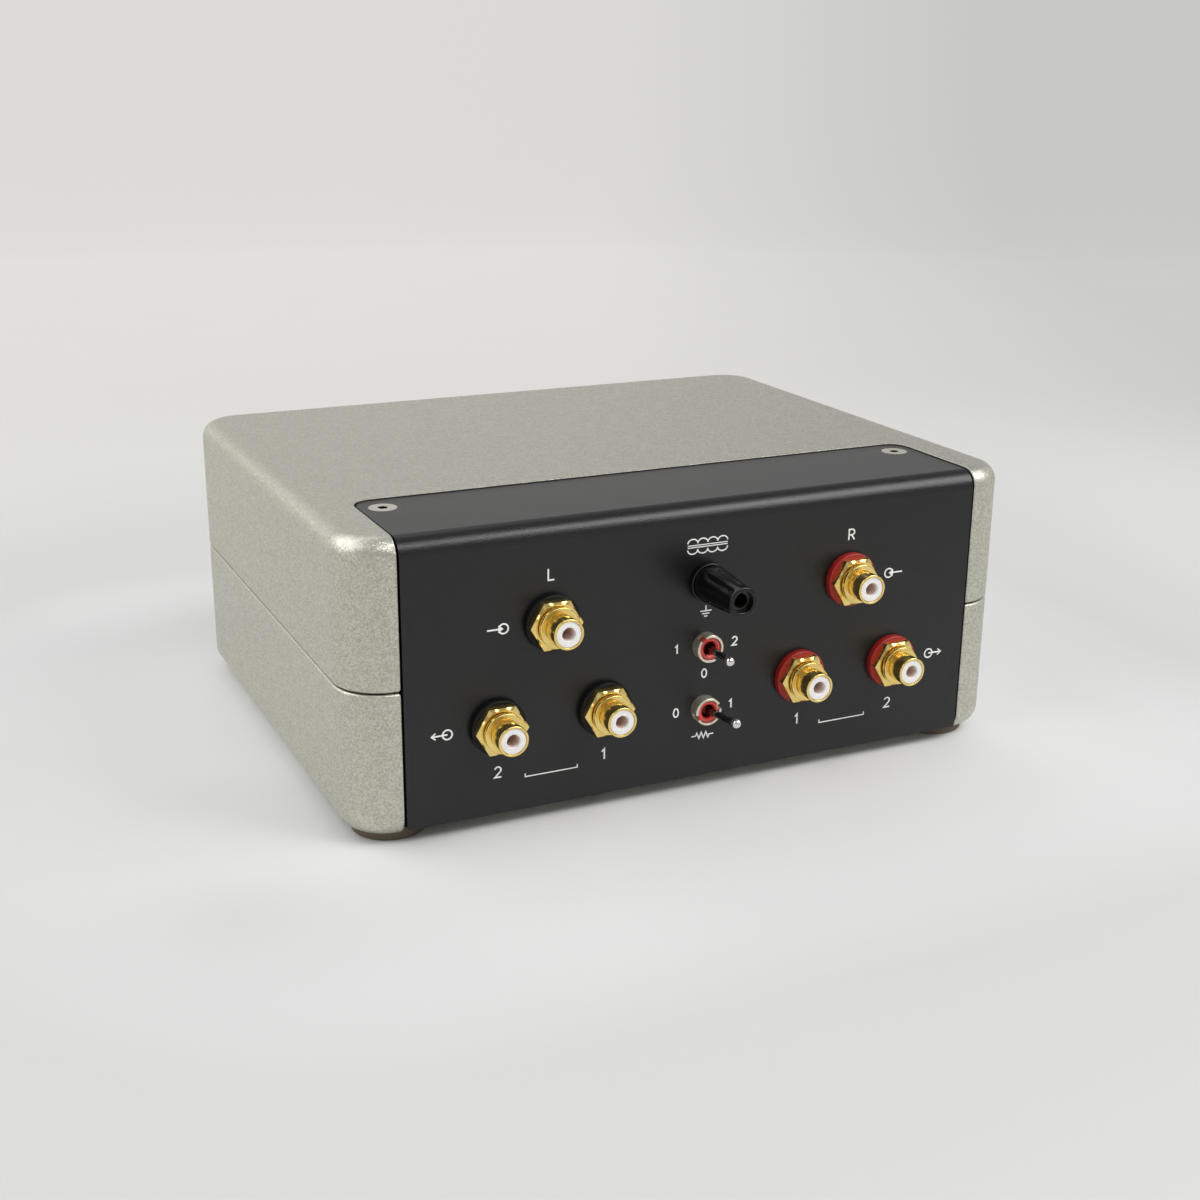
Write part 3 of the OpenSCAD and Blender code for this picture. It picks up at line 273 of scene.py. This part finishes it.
# front panel: black, with a fine tooth and a slow drift
panel = {"tooth": 0.4, "drift": 14, "depth": 0.06, "dark": tone(12, 12, 13), "bright": tone(26, 26, 26)}
panelBlack = Finish("panelBlack", Specular_IOR_Level=0.46)
tooth = panelBlack.grain(panel["tooth"], 3)
drift = panelBlack.grain(panel["drift"], 2)
panelBlack.paint(
    Base_Color=panelBlack.mix(0.5 * tooth + 0.5 * drift, panel["dark"], panel["bright"]),
    Roughness=0.3 + 0.12 * (tooth - 0.5),
    Normal=panelBlack.bump(tooth, panel["depth"]),
)

# screws of the strip: bright heads, with painted shade inside each key hole
screws = {
    "side": 79.5, "rear": -39.4, "keyTop": (81.7, 81.6), "keyWall": (1.6, 1.5), "keyHoleShade": tone(34, 32, 28),
    "scuff": 0.8, "depth": 0.01, "dark": tone(206, 203, 190), "bright": tone(232, 230, 218),
}
screwSteel = Finish("screwSteel", Metallic=0.9)
scuff = screwSteel.grain(screws["scuff"], 3)
offAxis = distance(abs(screwSteel.axis(0)) - screws["side"], screwSteel.axis(1) - screws["rear"])
# painted shade: the key hole goes dark below the head's top and near the axis
key = screwSteel.rise(screwSteel.axis(2), *screws["keyTop"]) * screwSteel.rise(offAxis, *screws["keyWall"])
head = screwSteel.mix(scuff, screws["dark"], screws["bright"])
screwSteel.paint(
    Base_Color=screwSteel.mix(key, head, screws["keyHoleShade"]),
    Roughness=0.3 + 0.12 * (scuff - 0.5),
    Normal=screwSteel.bump(scuff, screws["depth"]),
)

# bushings of the switches: a red nose, and painted shade on the flank where the dress nut hides it and inside the
# mouth
bushing = {
    "nose": (1.2, 2.6), "flankShade": tone(104, 22, 22),
    "mottle": 0.9, "depth": 0.02, "dark": tone(206, 48, 46), "bright": tone(232, 84, 78),
}
bushingRed = Finish("bushingRed", Coat_Roughness=0.15)
mottle = bushingRed.grain(bushing["mottle"], 3)
# painted shade: darker red towards the panel, where the nut's slots and the mouth lie in shadow
nose = bushingRed.rise(front - bushingRed.axis(1), *bushing["nose"])
red = bushingRed.mix(mottle, bushing["dark"], bushing["bright"])
bushingRed.paint(
    Base_Color=bushingRed.mix(nose, bushing["flankShade"], red),
    Coat_Weight=0.3 * nose,
    Roughness=0.36 + 0.1 * (mottle - 0.5),
    Normal=bushingRed.bump(mottle, bushing["depth"]),
)

# levers: dull in the mouth of the bushing, with painted shade along the shaft and a painted dark red reflection
# inside the mouth, plain bright chrome at the tip
lever = {
    "length": 15, "mouth": (4.2, 3), "haze": 1.6, "depth": 0.002, "hazeTone": tone(160, 160, 158),
    "tones": [
        (0.2, tone(92, 24, 22)), (0.27, tone(96, 93, 90)), (0.8, tone(120, 118, 115)), (0.83, tone(232, 232, 232)),
    ],
}
leverChrome = Finish("leverChrome", Metallic=1.0)
haze = leverChrome.grain(lever["haze"], 2)
proud = front - leverChrome.axis(1)
# painted shade and reflection: the lever's colour runs from dark red in the mouth through dark grey along the shaft
# to bright at the tip
shaftShade = leverChrome.ramp(leverChrome.rise(proud, 0, lever["length"]), lever["tones"])
leverChrome.paint(
    Base_Color=leverChrome.mix(0.12 * haze, shaftShade, lever["hazeTone"]),
    Roughness=0.1 + 0.08 * haze + 0.25 * leverChrome.rise(proud, *lever["mouth"]),
    Normal=leverChrome.bump(haze, lever["depth"]),
)


# metal with a soft cast over it and a fine tooth; sizes in millimetres
def metalFinish(name, dark, bright, rough, spread, tooth, depth, metallic=1.0):
    finish = Finish(name, Metallic=metallic)
    cast, fine = finish.grain(spread, 2), finish.grain(tooth, 3)
    return finish.paint(
        Base_Color=finish.mix(cast, tone(*dark), tone(*bright)),
        Roughness=rough * (0.7 + 0.4 * cast + 0.3 * fine),
        Normal=finish.bump(fine, depth),
    )


# moulded plastic or rubber with a faint mottle and a fine tooth
def mouldedFinish(name, dark, bright, rough, spread, tooth, depth, gleam=0.5):
    finish = Finish(name, Specular_IOR_Level=gleam)
    cast, fine = finish.grain(spread, 2), finish.grain(tooth, 3)
    return finish.paint(
        Base_Color=finish.mix(0.6 * cast + 0.4 * fine, tone(*dark), tone(*bright)),
        Roughness=rough * (0.8 + 0.25 * cast + 0.15 * fine),
        Normal=finish.bump(fine, depth),
    )


# laminated or wound stock: bands across one axis, pitch in millimetres; a wave of scale 1 repeats every 0.314
def bandedFinish(name, dark, bright, rough, pitch, axis, metallic, tooth=0.6, depth=0.05):
    finish = Finish(name, Metallic=metallic)
    inputs = {"Vector": finish.place, "Scale": 0.314 / (pitch * mm), "Distortion": 0.6}
    bands = finish.add("ShaderNodeTexWave", {"bands_direction": axis}, inputs, "Fac")
    fine = finish.grain(tooth, 2)
    return finish.paint(
        Base_Color=finish.mix(0.7 * bands + 0.3 * fine, tone(*dark), tone(*bright)),
        Roughness=rough + 0.15 * (fine - 0.5),
        Normal=finish.bump(bands, depth),
    )


finishes = {
    "shell_paint": shellPaint.material,
    "panel_black": panelBlack.material,
    "dark_screw": screwSteel.material,
    "zinc_steel": metalFinish("zincSteel", (150, 150, 148), (196, 196, 190), 0.36, 2.0, 0.2, 0.01),
    "foot_rubber": mouldedFinish("footRubber", (84, 74, 61), (112, 100, 84), 0.8, 2.5, 0.3, 0.05),
    "gold": metalFinish("goldPlate", (234, 200, 112), (250, 226, 150), 0.16, 3.0, 0.12, 0.002, 0.97),
    "washer_black": mouldedFinish("washerBlack", (10, 10, 9), (18, 17, 16), 0.5, 2.0, 0.2, 0.01, 0.25),
    "washer_red": mouldedFinish("washerRed", (140, 22, 20), (172, 36, 30), 0.4, 2.0, 0.2, 0.01),
    "insulator_white": mouldedFinish("insulatorWhite", (236, 233, 230), (247, 245, 243), 0.4, 1.5, 0.2, 0.005),
    # painted light: the contacts are pale and nearly without metal, so that they look lit deep in the sockets' holes
    "contact_bronze": metalFinish("contactBronzeLit", (222, 192, 176), (240, 216, 204), 0.5, 1.0, 0.15, 0.01, 0.1),
    "inner_black": mouldedFinish("innerBlack", (26, 26, 27), (40, 40, 41), 0.6, 2.0, 0.3, 0.02),
    "tinned": metalFinish("tinnedBrass", (176, 172, 160), (214, 211, 202), 0.32, 1.2, 0.2, 0.02),
    "bushing_red": bushingRed.material,
    "nickel": metalFinish("nickelPlate", (214, 206, 184), (242, 236, 220), 0.3, 1.2, 0.1, 0.006, 0.82),
    "lever_chrome": leverChrome.material,
    "knob_black": mouldedFinish("knobBlack", (6, 6, 7), (11, 11, 11), 0.24, 2.0, 0.15, 0.01, 0.4),
    "shield": metalFinish("shieldSteel", (138, 136, 130), (176, 174, 167), 0.36, 6.0, 0.3, 0.02),
    "core_iron": bandedFinish("coreIron", (86, 84, 80), (132, 129, 122), 0.45, 0.5, "Y", 0.9),
    "former_plastic": mouldedFinish("formerPlastic", (212, 200, 168), (230, 220, 192), 0.5, 3.0, 0.3, 0.01),
    "enamelled_copper": bandedFinish("enamelledCopper", (120, 56, 26), (186, 98, 52), 0.32, 0.25, "Z", 0.8),
    "lead_sheath": mouldedFinish("leadSheath", (40, 42, 50), (62, 64, 74), 0.45, 2.0, 0.3, 0.01),
}
printWhite = mouldedFinish("printWhite", (236, 236, 233), (250, 250, 248), 0.6, 2.0, 0.15, 0.004)
# painted shade: the stud deep in the knob's hole gets a dark grey brass
studShade = metalFinish("studBrassShade", (82, 79, 73), (112, 108, 100), 0.45, 1.0, 0.15, 0.01)
for part in frame["record"]["subparts"]:
    look = studShade if part["node"] == "post_stud" else finishes[part["material_slot"]]
    worn = frame["nodes"][part["node"]].data.materials
    worn.clear()
    worn.append(look)
print("finishes:", len(finishes) + 2)

# phono sockets; every section is (along the axis off the panel, radius, fillet)
sockets = {
    "spots": {
        "left_in": (-45.3, 55.4), "left_low": (-30.05, 29.0), "left_high": (-60.55, 29.0),
        "right_in": (45.3, 55.4), "right_low": (30.05, 29.0), "right_high": (60.55, 29.0),
    },
    "flats": 6.35,  # middle to flat of the hex flange
    "bodyTurns": 120, "bodySharp": 18, "contactTurns": 64,
    "body": [
        (-10, 3.5, 0), (11.5, 3.5, 0.12), (11.5, 4.15, 0.3), (6.5, 4.15, 0.1), (6.5, 3.85, 0.08), (6.1, 3.85, 0.08),
        (6.1, 5.5, 0.22), (4.9, 5.5, 0.15), (4.9, 4.75, 0.06), (4.4, 4.75, 0.06), (4.4, 6.05, 0.1), (3.95, 7.6, 0.05),
        (2, 7.6, 0.1), (2, 4, 0), (-10, 4, 0),
    ],
    "washer": [(0, 4.2, 0), (2, 4.2, 0), (2, 7.6, 0.4), (0, 7.6, 0.12)],
    "insulator": [
        (-10, 2.25, 0), (10.5, 2.25, 0), (10.5, 1.68, 0.08), (11.3, 1.9, 0.14), (11.3, 3.45, 0.14), (-10, 3.45, 0),
    ],
    "contact": [
        (0.3, 0, 0), (0.3, 1.65, 0.1), (10.3, 1.65, 0.1), (10.3, 2.2, 0.1), (-10, 2.2, 0.1), (-10, 1, 0),
        (-14, 1, 0.1), (-14, 0, 0),
    ],
}
for spot, (x, z) in sockets["spots"].items():
    body = turned(rounded(sockets["body"]), x, z, sockets["bodyTurns"], sockets["flats"])
    addPiece("socketBody_" + spot, [(body, True, True)], finishes["gold"],
             replaced=["socket_body_" + spot], sharp=sockets["bodySharp"])
    colour = "washer_black" if x < 0 else "washer_red"
    washer = turned(rounded(sockets["washer"]), x, z)
    addPiece("socketWasher_" + spot, [(washer, True, True)], finishes[colour],
             replaced=["socket_washer_" + spot])
for side in ("left", "right"):
    trio = [place for spot, place in sockets["spots"].items() if spot.startswith(side)]
    sleeves = [(turned(rounded(sockets["insulator"]), x, z), True, True) for x, z in trio]
    addPiece("socketInsulators_" + side, sleeves, finishes["insulator_white"],
             replaced=["socket_insulators_" + side])
    tube = rounded(sockets["contact"], False)
    tubes = [(turned(tube, x, z, sockets["contactTurns"]), False, True) for x, z in trio]
    addPiece("socketContacts_" + side, tubes, finishes["contact_bronze"],
             replaced=["socket_contacts_" + side])
print("sockets:", len(sockets["spots"]))

# slotted dress nuts of the toggle switches
dressNuts = {
    "section": [(0, 3.2, 0), (3.5, 3.2, 0.1), (3.5, 3.9, 0.26), (0, 3.9, 0.1)],
    "slotHalf": 0.75, "slotFloor": 1.1,
    "nuts": {"upper": (42.2, 127), "lower": (24.0, 20)},  # height, angle of the slots
}


# the section goes round with its columns bent to the slots: a wall of a slot lies at the angle whose sine is
# half / r, and between the walls the section is cut off at the floor
def slottedNut(section, z, angle, half, floor, slotSteps=9, sideSteps=40):
    along, radius = section[:, :1], section[:, 1:]
    edge = np.arcsin(half / radius)
    inSlot = np.arcsin(np.linspace(-1, 1, slotSteps)[None, :] * half / radius)
    between = edge + np.linspace(0, 1, sideSteps)[None, :] * (math.pi - 2 * edge)
    turns = np.concatenate([inSlot, between, inSlot + math.pi, between + math.pi], 1) + math.radians(angle)
    slotRows = np.repeat(np.minimum(along, floor), slotSteps, 1)
    fullRows = np.repeat(along, sideSteps, 1)
    return offPanel(np.concatenate([slotRows, fullRows, slotRows, fullRows], 1), radius, turns, 0, z)


for name, (z, angle) in dressNuts["nuts"].items():
    nut = slottedNut(rounded(dressNuts["section"]), z, angle, dressNuts["slotHalf"], dressNuts["slotFloor"])
    addPiece("dressNut_" + name, [(nut, True, True)], finishes["nickel"], replaced=[name + "_switch_nut"])
print("dress nuts:", len(dressNuts["nuts"]))

# ground post: fluted knob and the collar under it
post = {
    "height": 60.4,
    "collar": [(0, 2.95, 0), (2.2, 2.95, 0.1), (2.2, 5.5, 0.35), (0, 5.5, 0.1)],
    "knob": [(3, 2.8, 0), (20, 2.8, 0.35), (20, 4.05, 0.5), (5, 5.15, 2.0), (3, 5.15, 0.3)],
    "flutes": 8, "fluteDepth": 0.5, "fluteHalf": 1.3, "fluteStart": 5.2, "fluteEnd": 18.6, "fluteRun": 0.7,
    "outside": 3.75,  # flutes only where the radius is larger than this
}


# radius less depth * (1 - (s / half)^2)^2, with s the arc from the nearest flute, fading in and out along the knob
def flutedKnob(section, data, turns=256, steps=12):
    finer = np.linspace(section[:-1], section[1:], steps, endpoint=False, axis=1).reshape(-1, 2)
    along, radius = finer[:, :1], finer[:, 1:]
    angle = np.linspace(0, tau, turns, endpoint=False)[None, :]
    pitch = tau / data["flutes"]
    fromFlute = radius * np.abs((angle + pitch / 2) % pitch - pitch / 2)
    fadeIn = np.clip((along - data["fluteStart"]) / data["fluteRun"], 0, 1)
    fadeOut = np.clip((data["fluteEnd"] - along) / data["fluteRun"], 0, 1)
    fade = (fadeIn * fadeOut) ** 2 * (3 - 2 * fadeIn * fadeOut) * (radius > data["outside"])
    groove = data["fluteDepth"] * fade * np.maximum(0, 1 - (fromFlute / data["fluteHalf"]) ** 2) ** 2
    return offPanel(along, radius - groove, angle, 0, data["height"])


knobSection = rounded(post["knob"])
knob = flutedKnob(np.concatenate([knobSection, knobSection[:1]]), post)
addPiece("postKnob", [(knob, True, True)], finishes["knob_black"], "knob", ["post_knob"])
collar = turned(rounded(post["collar"]), 0, post["height"])
addPiece("postCollar", [(collar, True, True)], finishes["knob_black"], replaced=["post_collar"])
print("ground post: knob and collar")

# printed marks on the panel, drawn as strokes; places and sizes are (u, v) to the right and up the panel
marks = {
    "low": 0.01, "high": 0.06, "lift": 0.0015, "layers": 5,  # the strokes' heights off the panel
    "width": 0.42, "barWidth": 0.36, "coilWidth": 0.34, "linkWidth": 0.3, "coreWidth": 0.26,
    "letters": [("L", -45.3, 68.1, 3.0), ("R", 45.3, 68.1, 3.0)],  # the last number is the cap height
    "numerals": [
        ("2", -60.5, 16.0, 2.9), ("1", -30.0, 15.7, 2.9), ("1", 30.2, 15.7, 2.9), ("2", 60.7, 15.8, 2.9),
        ("1", -8.6, 42.2, 2.4), ("2", 9.2, 42.2, 2.4), ("0", 0.0, 34.2, 2.4), ("0", -8.4, 23.9, 2.4),
        ("1", 8.6, 23.9, 2.4),
    ],
    # arrows into and out of a ring: u, v and the way they point, then places along the arrow
    "inward": {"spots": [(-60.4, 55.3, 1), (60.4, 55.3, -1)], "ring": 1.9, "tail": -2.6, "neck": 1.5, "tip": 1.6},
    "outward": {"spots": [(-75.9, 28.9, -1), (75.9, 28.9, 1)], "ring": -1.7, "tail": -1.7, "neck": 2.4, "tip": 2.6},
    "ringRadius": 1.3, "barb": (1.1, 0.9),
    "links": {"spots": [(-45.3, 13.3), (45.3, 13.3)], "half": 7.5, "leg": 0.9},
    "coil": {"spot": (0.0, 70.5), "turns": 4, "pitch": 3.0, "rise": 1.2, "points": 13, "gap": 0.85, "core": 0.28},
    "earth": {"spot": (0.0, 51.9), "top": 1.7, "bar": 0.2, "step": 0.75, "halves": (1.7, 1.1, 0.5)},
    "resistor": {"spot": (0.0, 16.0), "end": 3.4, "neck": 2.1, "teeth": 6, "pitch": 0.7, "rise": 0.85},
}


# a flat bar of the given width carried along points (u, v) of the panel, mitred at its corners:
# its sides lie half a width off the path, along the sum of the two normals over 1 + their product
def stroke(points, width, low, high, closed):
    p = np.asarray(points, float)
    ahead = np.roll(p, -1, 0) - p
    ahead /= np.linalg.norm(ahead, axis=1, keepdims=True)
    normal = np.stack([-ahead[:, 1], ahead[:, 0]], 1)
    last = np.roll(normal, 1, 0)
    if not closed:
        last[0], normal[-1] = normal[0], normal[-2]
    mitre = (last + normal) / (1 + (last * normal).sum(1, keepdims=True))
    across = np.array([0.5, 0.5, -0.5, -0.5]) * width
    u = p[:, :1] + mitre[:, :1] * across
    v = p[:, 1:] + mitre[:, 1:] * across
    bar = np.stack([u, front - np.array([low, high, high, low]) + 0 * u, v], -1)
    if not closed:
        ends = bar[[0, -1]].mean(1, keepdims=True).repeat(4, 1)
        bar = np.concatenate([ends[:1], bar, ends[1:]])
    return bar, closed, True


# points of an arc about (u, v), angles in degrees
def arc(u, v, radiusU, radiusV, start, end, count=24):
    t = np.radians(np.linspace(start, end, count))
    return np.stack([u + radiusU * np.cos(t), v + radiusV * np.sin(t)], 1)


# outlines of the characters in a box one cap high, with the middle of the box at the origin
bowlOfR = arc(0.05, 0.235, 0.26, 0.265, 85, -85, 14)
glyphs = {
    "L": [[(-0.26, 0.5), (-0.26, -0.5), (0.3, -0.5)]],
    "R": [[(-0.28, -0.5), (-0.28, 0.5), (0.05, 0.5), *bowlOfR, (0.05, -0.03), (-0.28, -0.03)],
          [(0.02, -0.03), (0.33, -0.5)]],
    "0": [arc(0, 0, 0.3, 0.5, 0, 345)],
    "1": [[(-0.2, 0.26), (0.06, 0.5), (0.06, -0.5)]],
    "2": [[*arc(0, 0.21, 0.3, 0.29, 165, -35, 18), (-0.3, -0.5), (0.33, -0.5)]],
}
strokes = []


# lifts each new stroke a hair above the last, so that none lies flush with another that it crosses
def draw(points, width=marks["width"], closed=False):
    lift = marks["lift"] * (len(strokes) % marks["layers"])
    strokes.append(stroke(points, width, marks["low"], marks["high"] + lift, closed))


for character, u, v, cap in marks["letters"] + marks["numerals"]:
    for outline in glyphs[character]:
        draw(np.array(outline) * cap + np.array([u, v]), closed=character == "0")
for arrow in (marks["inward"], marks["outward"]):
    for u, v, way in arrow["spots"]:
        ring, tail, neck, tip = (u + way * arrow[key] for key in ("ring", "tail", "neck", "tip"))
        barb, spread = tip - way * marks["barb"][0], marks["barb"][1]
        draw(arc(ring, v, marks["ringRadius"], marks["ringRadius"], 0, 345), closed=True)
        draw([(tail, v), (neck, v)])
        draw([(barb, v + spread), (tip, v), (barb, v - spread)], marks["barWidth"])
link = marks["links"]  # a bracket under the two outputs of a channel
for u, v in link["spots"]:
    left, right, top = u - link["half"], u + link["half"], v + link["leg"]
    draw([(left, top), (left, v), (right, v), (right, top)], marks["linkWidth"])
coil = marks["coil"]  # two coils with a core between them
u, v = coil["spot"]
left, right = u - coil["turns"] * coil["pitch"] / 2, u + coil["turns"] * coil["pitch"] / 2
for way in (1, -1):
    for i in range(coil["turns"]):
        middle = left + (i + 0.5) * coil["pitch"]
        foot, end = v + way * coil["gap"], 180 - 180 * way
        draw(arc(middle, foot, coil["pitch"] / 2, coil["rise"], 180, end, coil["points"]), marks["coilWidth"])
    draw([(left, v + way * coil["core"]), (right, v + way * coil["core"])], marks["coreWidth"])
earth = marks["earth"]
u, v = earth["spot"]
draw([(u, v + earth["top"]), (u, v + earth["bar"])])
for i, half in enumerate(earth["halves"]):
    height = v + earth["bar"] - i * earth["step"]
    draw([(u - half, height), (u + half, height)], marks["barWidth"])
resistor = marks["resistor"]
u, v = resistor["spot"]
i = np.arange(resistor["teeth"])
teeth = np.stack([u + (i - i.mean()) * resistor["pitch"], v + resistor["rise"] * (-1.0) ** i], 1)
leads = [[(u + way * resistor["end"], v), (u + way * resistor["neck"], v)] for way in (-1, 1)]
draw(np.concatenate([leads[0], teeth, leads[1][::-1]]), marks["coilWidth"])
addPiece("panelMarks", strokes, printWhite)
print("marks:", len(strokes), "strokes")

# round floor that sweeps up into a low wall, highest at the back
stage = {
    "radius": 1500.0, "sweep": 300.0, "front": 360.0, "rear": 640.0,
    "rings": [0, 400, 900], "sweepSteps": 13, "turns": 96,
}
sweep = np.radians(np.linspace(-90, 0, stage["sweepSteps"]))
curved = stage["radius"] + stage["sweep"] * (np.cos(sweep) - 1)
reach = np.concatenate([stage["rings"], curved, [stage["radius"]]])[:, None]
lifted = np.concatenate([np.zeros(len(stage["rings"])), stage["sweep"] * (1 + np.sin(sweep)), [0]])[:, None]
# the profile (reach, lifted) carried round; its last point stands between front and rear, by the sine of the angle
around = np.linspace(0, tau, stage["turns"], endpoint=False)[None, :]
heights = lifted + 0 * around
heights[-1] = stage["front"] + (stage["rear"] - stage["front"]) * (1 + np.sin(around)) / 2
bowl = np.stack([reach * np.cos(around), reach * np.sin(around), heights], -1)

# paint of the floor
ground = {
    "half": (100.0, 80.0), "middle": 10.0,  # the box's footprint
    "veil": 60, "waver": 6, "clear": (0, 300),
    "tones": [  # by the distance outside the footprint
        (0.0, tone(233, 233, 232)), (0.07, tone(229, 229, 228)), (0.14, tone(222, 222, 221)),
        (0.22, tone(214, 214, 213)), (0.34, tone(202, 202, 200)), (0.5, tone(202, 202, 200)),
        (1.0, tone(212, 211, 208)),
    ],
    "corner": (-135.0, -90.0), "cornerReach": (90, 0), "cornerShade": tone(200, 200, 199),
    "far": (250.0, 650.0), "slant": (-0.9, 0.43), "side": (-400, 320),
    "farShadedTones": [(0.0, tone(199, 199, 197)), (0.56, tone(218, 217, 214)), (1.0, tone(219, 218, 214))],
    "black": (0.0, 0.0, 0.0, 1.0),
}
floorPaint = Finish("floorPaint", Specular_IOR_Level=0.1, Emission_Strength=1.0)
veil = floorPaint.grain(ground["veil"], 2)
eastward, northward = floorPaint.axis(0), floorPaint.axis(1)
# painted light: the tone falls with the distance from the footprint, lifting the object's contact shadows so that the
# floor looks even under the lamps
beside = floorPaint.over(eastward, ground["half"][0])
beyond = floorPaint.over(northward - ground["middle"], ground["half"][1])
clear = distance(beside, beyond) + ground["waver"] * (veil - 0.5)
nearby = floorPaint.ramp(floorPaint.rise(clear, *ground["clear"]), ground["tones"])
# and painted shade a little darker in front of the left corner, where all the lamps reach
corner = distance(eastward - ground["corner"][0], northward - ground["corner"][1])
nearby = floorPaint.mix(floorPaint.rise(corner, *ground["cornerReach"]), nearby, ground["cornerShade"])
# far from the object the camera, metal and glass see a pale tone, with painted shade darker towards the right
rays = ("Is Camera Ray", "Is Glossy Ray", "Is Transmission Ray")
camera, glossy, through = (floorPaint.add("ShaderNodeLightPath", {}, {}, ray) for ray in rays)
seen = floorPaint.larger(floorPaint.larger(camera, glossy), through)
away = {0: distance(eastward, northward), 1: ground["far"][0], 2: ground["far"][1]}
far = floorPaint.add("ShaderNodeMapRange", {"interpolation_type": "SMOOTHSTEP"}, away) * seen
slant = ground["slant"][0] * eastward + ground["slant"][1] * northward
pale = floorPaint.ramp(floorPaint.rise(slant, *ground["side"]), ground["farShadedTones"])
floorPaint.paint(
    Base_Color=floorPaint.mix(far, nearby, ground["black"]),
    Emission_Color=floorPaint.mix(far, ground["black"], pale),
    Roughness=0.6 + 0.1 * (veil - 0.5),
)
floor = bpy.data.objects.new("floor", gridMesh("floor", [(bowl, False, True)], floorPaint.material))
scene.collection.objects.link(floor)


# where a lamp or camera stands, with its back turned the given way and its own frame tilted about that
def facing(place, back, tilt=0.0):
    back = np.array(back) / np.linalg.norm(back)
    level = np.cross([0, 0, 1], back)
    level /= np.linalg.norm(level)
    upright = np.cross(back, level)
    right = math.cos(tilt) * level + math.sin(tilt) * upright
    upward = math.cos(tilt) * upright - math.sin(tilt) * level
    return Matrix.Translation(place) @ Matrix(np.stack([right, upward, back], 1).tolist()).to_4x4()


# soft lamps: place, aim, size across and down in metres, watts
lamps = {
    "key": ((-1.1, 0.42, 1.0), (0, 0, 0.04), 1.9, 1.3, 16.0),
    "fill": ((0.92, -0.65, 1.06), (0, 0, 0.04), 1.0, 0.8, 11.5),
    "brow": ((0.5, -1.3, 1.9), (0, -0.2, 0.0), 1.6, 0.8, 14.0),
    "rear": ((-0.3, 1.3, 2.0), (0, 0.2, 0.0), 2.2, 0.9, 7.5),
}
for name, (place, aim, wide, high, watts) in lamps.items():
    lamp = bpy.data.lights.new(name, "AREA")
    lamp.shape, lamp.size, lamp.size_y, lamp.energy = "RECTANGLE", wide, high, watts
    holder = bpy.data.objects.new(name, lamp)
    holder.matrix_world = facing(place, np.array(place) - np.array(aim))
    scene.collection.objects.link(holder)
room = {"Color": (0.95, 0.97, 1.0, 1.0), "Strength": 0.32}
world = bpy.data.worlds.new("room")
world.use_nodes = True
for key, value in room.items():
    world.node_tree.nodes["Background"].inputs[key].default_value = value
scene.world = world
print("stage and lamps:", len(lamps))

# camera: where it looks, how it is turned, lifted and tilted in degrees, and how far off it stands
view = {
    "target": (-31.46, -70.0, 59.34), "turn": -25.38, "lift": 18.364, "tilt": 0.4724,
    "distance": 437.2, "lens": 50.565, "sensor": 36.0, "near": 0.01, "far": 20.0,
}
turn, lift, tilt = np.radians([view["turn"], view["lift"], view["tilt"]])
back = np.array([math.sin(turn) * math.cos(lift), -math.cos(turn) * math.cos(lift), math.sin(lift)])
lens = bpy.data.cameras.new("camera")
lens.lens, lens.sensor_width, lens.sensor_fit = view["lens"], view["sensor"], "HORIZONTAL"
lens.clip_start, lens.clip_end = view["near"], view["far"]
viewer = bpy.data.objects.new("camera", lens)
viewer.matrix_world = facing((np.array(view["target"]) + view["distance"] * back) * mm, back, tilt)
scene.collection.objects.link(viewer)
scene.camera = viewer
